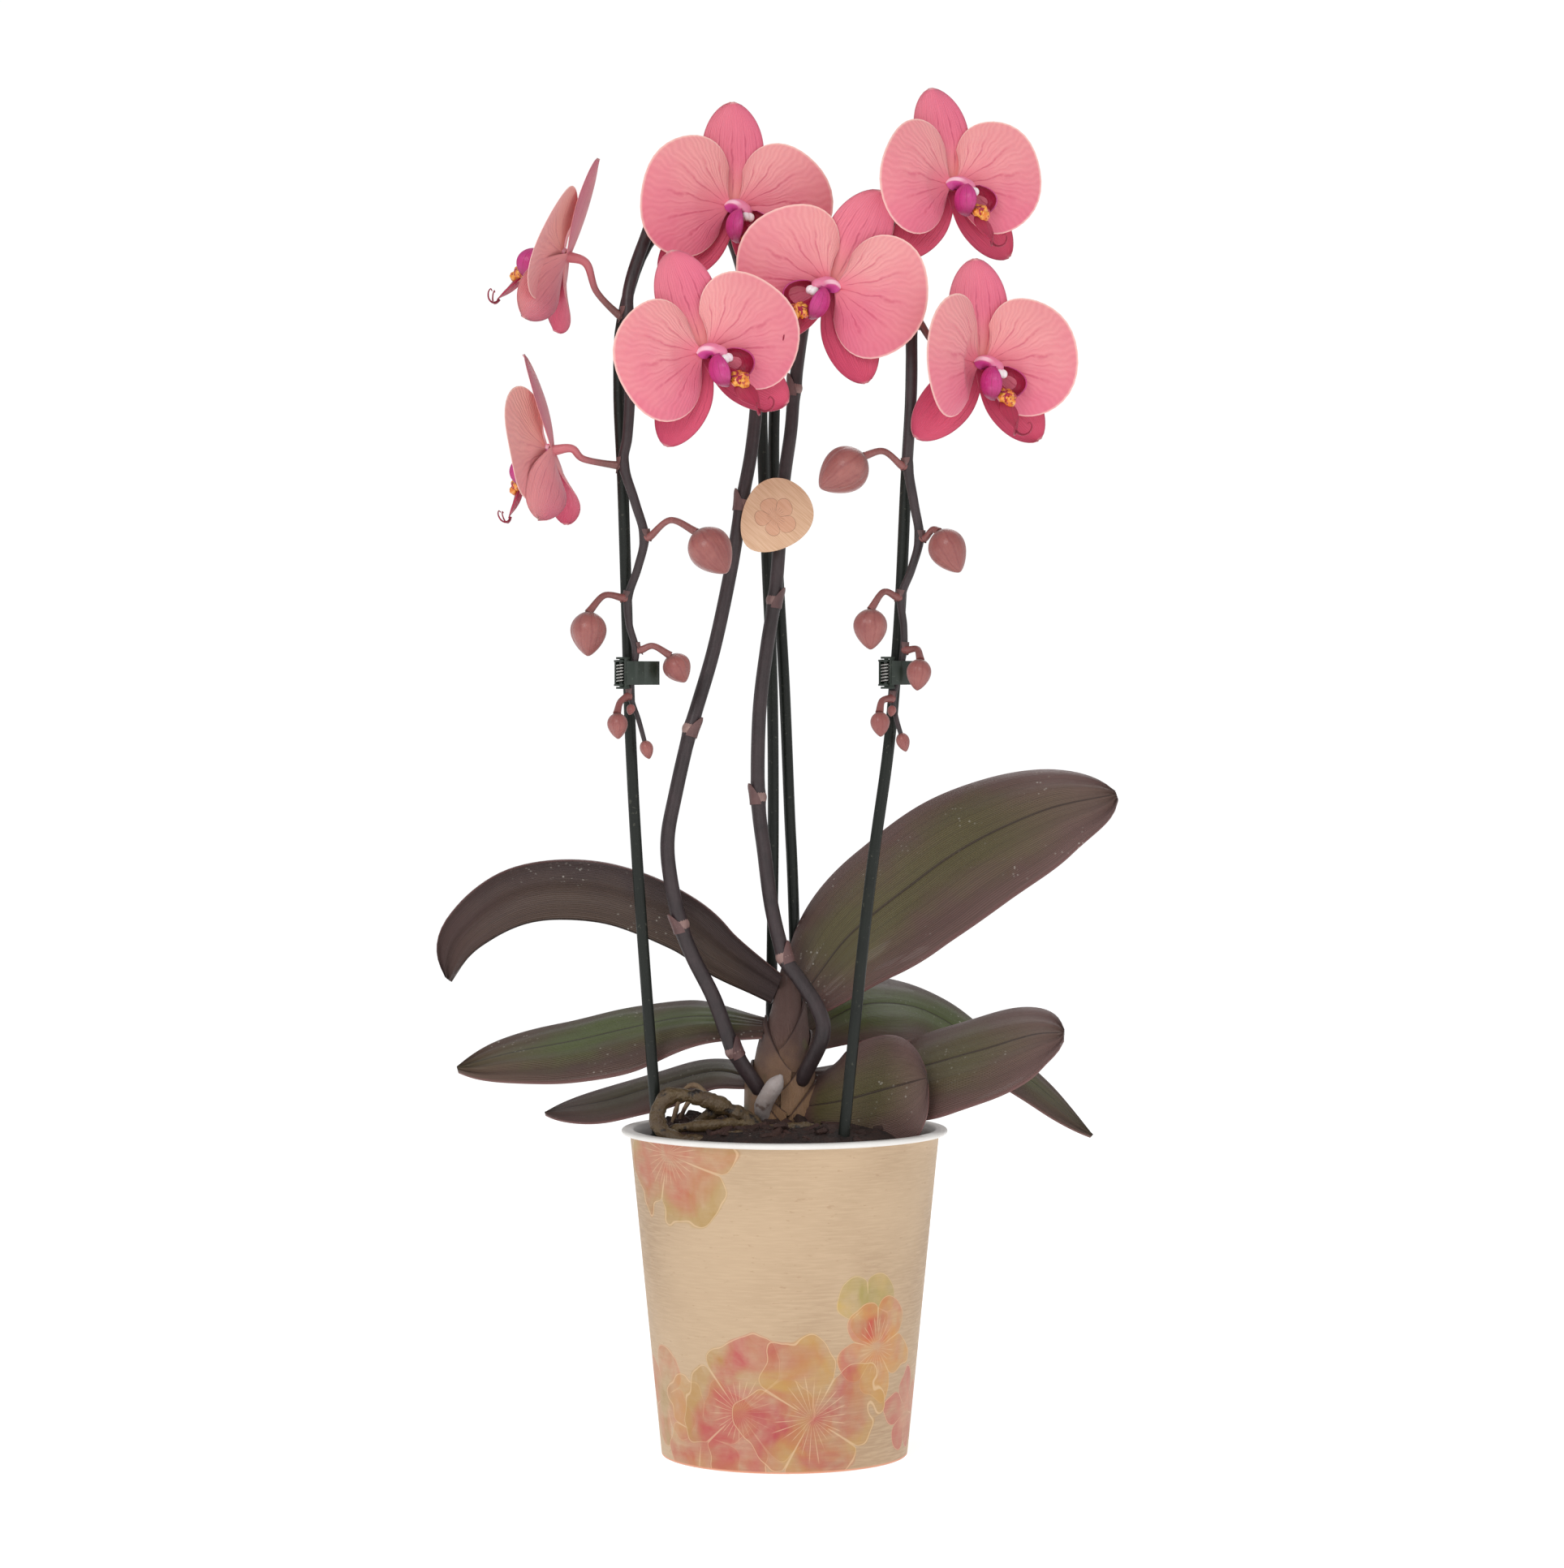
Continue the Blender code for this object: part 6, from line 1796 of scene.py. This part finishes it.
def make_flowers():
    stalks = []
    for seed, flower in enumerate(FLOWERS):
        matrix = flower_matrix(flower)
        facing = matrix @ Matrix.Rotation(math.radians(flower.face), 4, "Z")
        make_sepals(flower, matrix, seed)
        make_petals(flower, matrix, seed)
        make_column(flower, facing)
        make_lip(flower, facing, seed)
        bend = mm(*flower.bend)
        points = [*stalk_start(flower.spike, mm(*flower.node), bend), bend,
                  matrix @ Vector((0, 0.010, 0)), matrix @ Vector((0, SEPAL_SETBACK - 0.0006, 0))]
        stalks.append((smooth_route(points, 40), stalk_radii(40, 0.5, 0.9)))
    show(stems("flower_stalks", stalks, STALK, 14), PLANT, "spike")


# ---------------------------------------------------------------- clips and tag

CLIPS = [("clip_left", (-63.5, -34.5, 311)), ("clip_right", (39.3, -49.4, 311))]
CLIP_TURN = 40  # degrees about Z
CLIP_EDGE = 0.00022  # how far the jaws' edges are rounded
COIL_STEPS = 28  # in each turn


def worked_copy(node, name, made, bevel):
    """A copy of a CAD node with its triangles merged, its flats joined and its edges rounded."""
    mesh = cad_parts[node].data.copy()
    shape = bmesh.new()
    shape.from_mesh(mesh)
    bmesh.ops.remove_doubles(shape, verts=shape.verts, dist=0.000005)
    bmesh.ops.dissolve_limit(shape, angle_limit=math.radians(2), verts=shape.verts, edges=shape.edges)
    shape.to_mesh(mesh)
    shape.free()
    if "custom_normal" in mesh.attributes:
        mesh.attributes.remove(mesh.attributes["custom_normal"])
    obj = bpy.data.objects.new(name + "_source", mesh)
    bpy.context.scene.collection.objects.link(obj)
    step = obj.modifiers.new("round", "BEVEL")
    step.width = bevel
    step.segments = 3
    step.limit_method = "ANGLE"
    step.angle_limit = math.radians(45)
    graph = bpy.context.evaluated_depsgraph_get()
    worked = bpy.data.meshes.new_from_object(obj.evaluated_get(graph))
    bpy.data.objects.remove(obj)
    return add_piece(name, worked, [made], 40)


def make_clips():
    for name, pin in CLIPS:
        front = worked_copy(name + "_front_jaw", name + "_fixed_plate", PLASTIC, CLIP_EDGE)
        show(front, PLANT, "clip_green", name + "_front_jaw")
        back = worked_copy(name + "_back_jaw", name + "_swinging_plate", PLASTIC, CLIP_EDGE)
        show(back, name + "_jaw", "clip_green", name + "_back_jaw")
        place = Matrix.Translation(mm(*pin)) @ Matrix.Rotation(math.radians(CLIP_TURN), 4, "Z")
        route = []
        half = (COIL_HEIGHT - 2 * WIRE_RADIUS) / 2
        for number in range(COIL_TURNS * COIL_STEPS + 1):
            angle = 2 * math.pi * number / COIL_STEPS
            x, y = COIL_RADIUS * math.cos(angle), COIL_RADIUS * math.sin(angle)
            height = -half + 2 * half * number / (COIL_TURNS * COIL_STEPS)
            route.append(place @ Vector((x, y, height)))
        wire = rounded(route, [WIRE_RADIUS] * len(route))
        show(stems(name + "_coil", [wire], STEEL, 10), PLANT, "steel", name + "_spring")


TAG_CENTRE = (-4, -13.3, 372.5)  # mm
TAG_TILT = 42  # degrees that the tag's long axis leans to +X
TAG_LENGTH = 0.0315
TAG_WIDTH = 0.0265
TAG_THICKNESS = 0.0008


def make_tag():
    """An egg-shaped card, broad end up, in front of the two rising spikes."""
    rings = []
    for depth, inset in ((0.5, 0.00018), (0.38, 0.00003), (0.0, 0.0), (-0.38, 0.00003), (-0.5, 0.00018)):
        ring = []
        for angle in turns_round(72):
            narrow = 1 + 0.22 * math.sin(angle)
            x = (TAG_WIDTH / 2 * narrow - inset) * math.cos(angle)
            z = (TAG_LENGTH / 2 - inset) * math.sin(angle)
            ring.append(Vector((x, TAG_THICKNESS * depth, z)))
        rings.append(ring)
    skin = Skin()
    skin.loft(rings)
    skin.own = [(point.x / TAG_LENGTH + 0.5, point.z / TAG_LENGTH + 0.5) for point in skin.points]
    lean = Matrix.Rotation(math.radians(TAG_TILT), 4, "Y")
    card = skin.piece("tag_card", [CARD], Matrix.Translation(mm(*TAG_CENTRE)) @ lean)
    show(card, PLANT, "card", "tag")


# ---------------------------------------------------------------- floor, light and camera


FLOOR_GLOW = 0.55
SKY_SEEN = 0.45  # what the camera sees on top of the light that the sky gives
SKY_LIGHT = 0.58
LENS = 98.07  # mm
CAMERA_PLACE = (-0.001, -1.70, 0.30)
CAMERA_DIP = 1.11  # degrees below level


def make_stage():
    shape = bmesh.new()
    bmesh.ops.create_grid(shape, x_segments=1, y_segments=1, size=6.0)
    mesh = bpy.data.meshes.new("floor")
    shape.to_mesh(mesh)
    shape.free()
    made = bpy.data.materials.new("studio_white")
    made.use_nodes = True
    shader = made.node_tree.nodes["Principled BSDF"]
    shader.inputs["Base Color"].default_value = (0.85, 0.85, 0.85, 1)
    shader.inputs["Emission Color"].default_value = (1, 1, 1, 1)
    shader.inputs["Emission Strength"].default_value = FLOOR_GLOW
    shader.inputs["Roughness"].default_value = 0.9
    shader.inputs["Specular IOR Level"].default_value = 0.1
    floor = add_piece("floor", mesh, [made])
    world = bpy.data.worlds.new("studio")
    world.use_nodes = True
    world.node_tree.nodes["Background"].inputs["Color"].default_value = (1, 1, 1, 1)
    sky = world.node_tree.nodes["Background"].inputs["Strength"]
    seen = world.node_tree.nodes.new("ShaderNodeLightPath").outputs["Is Camera Ray"]
    world.node_tree.links.new(calc(world.node_tree, "MULTIPLY_ADD", seen, SKY_SEEN, SKY_LIGHT), sky)
    bpy.context.scene.world = world


def make_light(name, place, target, size, power):
    lamp = bpy.data.lights.new(name, "AREA")
    lamp.shape = "DISK"
    lamp.size = size
    lamp.energy = power
    obj = bpy.data.objects.new(name, lamp)
    bpy.context.scene.collection.objects.link(obj)
    obj.location = place
    obj.rotation_euler = (Vector(target) - Vector(place)).to_track_quat("-Z", "Y").to_euler()


def make_camera():
    lens = bpy.data.cameras.new("camera")
    lens.lens = LENS
    lens.sensor_width = 36
    lens.clip_start = 0.05
    lens.clip_end = 50
    camera = bpy.data.objects.new("camera", lens)
    bpy.context.scene.collection.objects.link(camera)
    camera.location = CAMERA_PLACE
    camera.rotation_euler = (math.radians(90 - CAMERA_DIP), 0, 0)
    bpy.context.scene.camera = camera


make_pot()
make_bark()
make_crown()
make_roots()
make_leaves()
make_hoops()
make_spikes()
make_buds()
make_flowers()
make_clips()
make_tag()
make_stage()
make_light("key", (-0.6, -1.5, 1.2), (0, 0, 0.30), 0.8, 9)
make_light("fill", (1.1, -1.3, 0.6), (0, 0, 0.28), 1.0, 2.5)
make_light("back", (0.2, 1.2, 1.2), (0, 0, 0.35), 0.8, 3)
make_camera()
bpy.context.scene.view_settings.view_transform = "Standard"
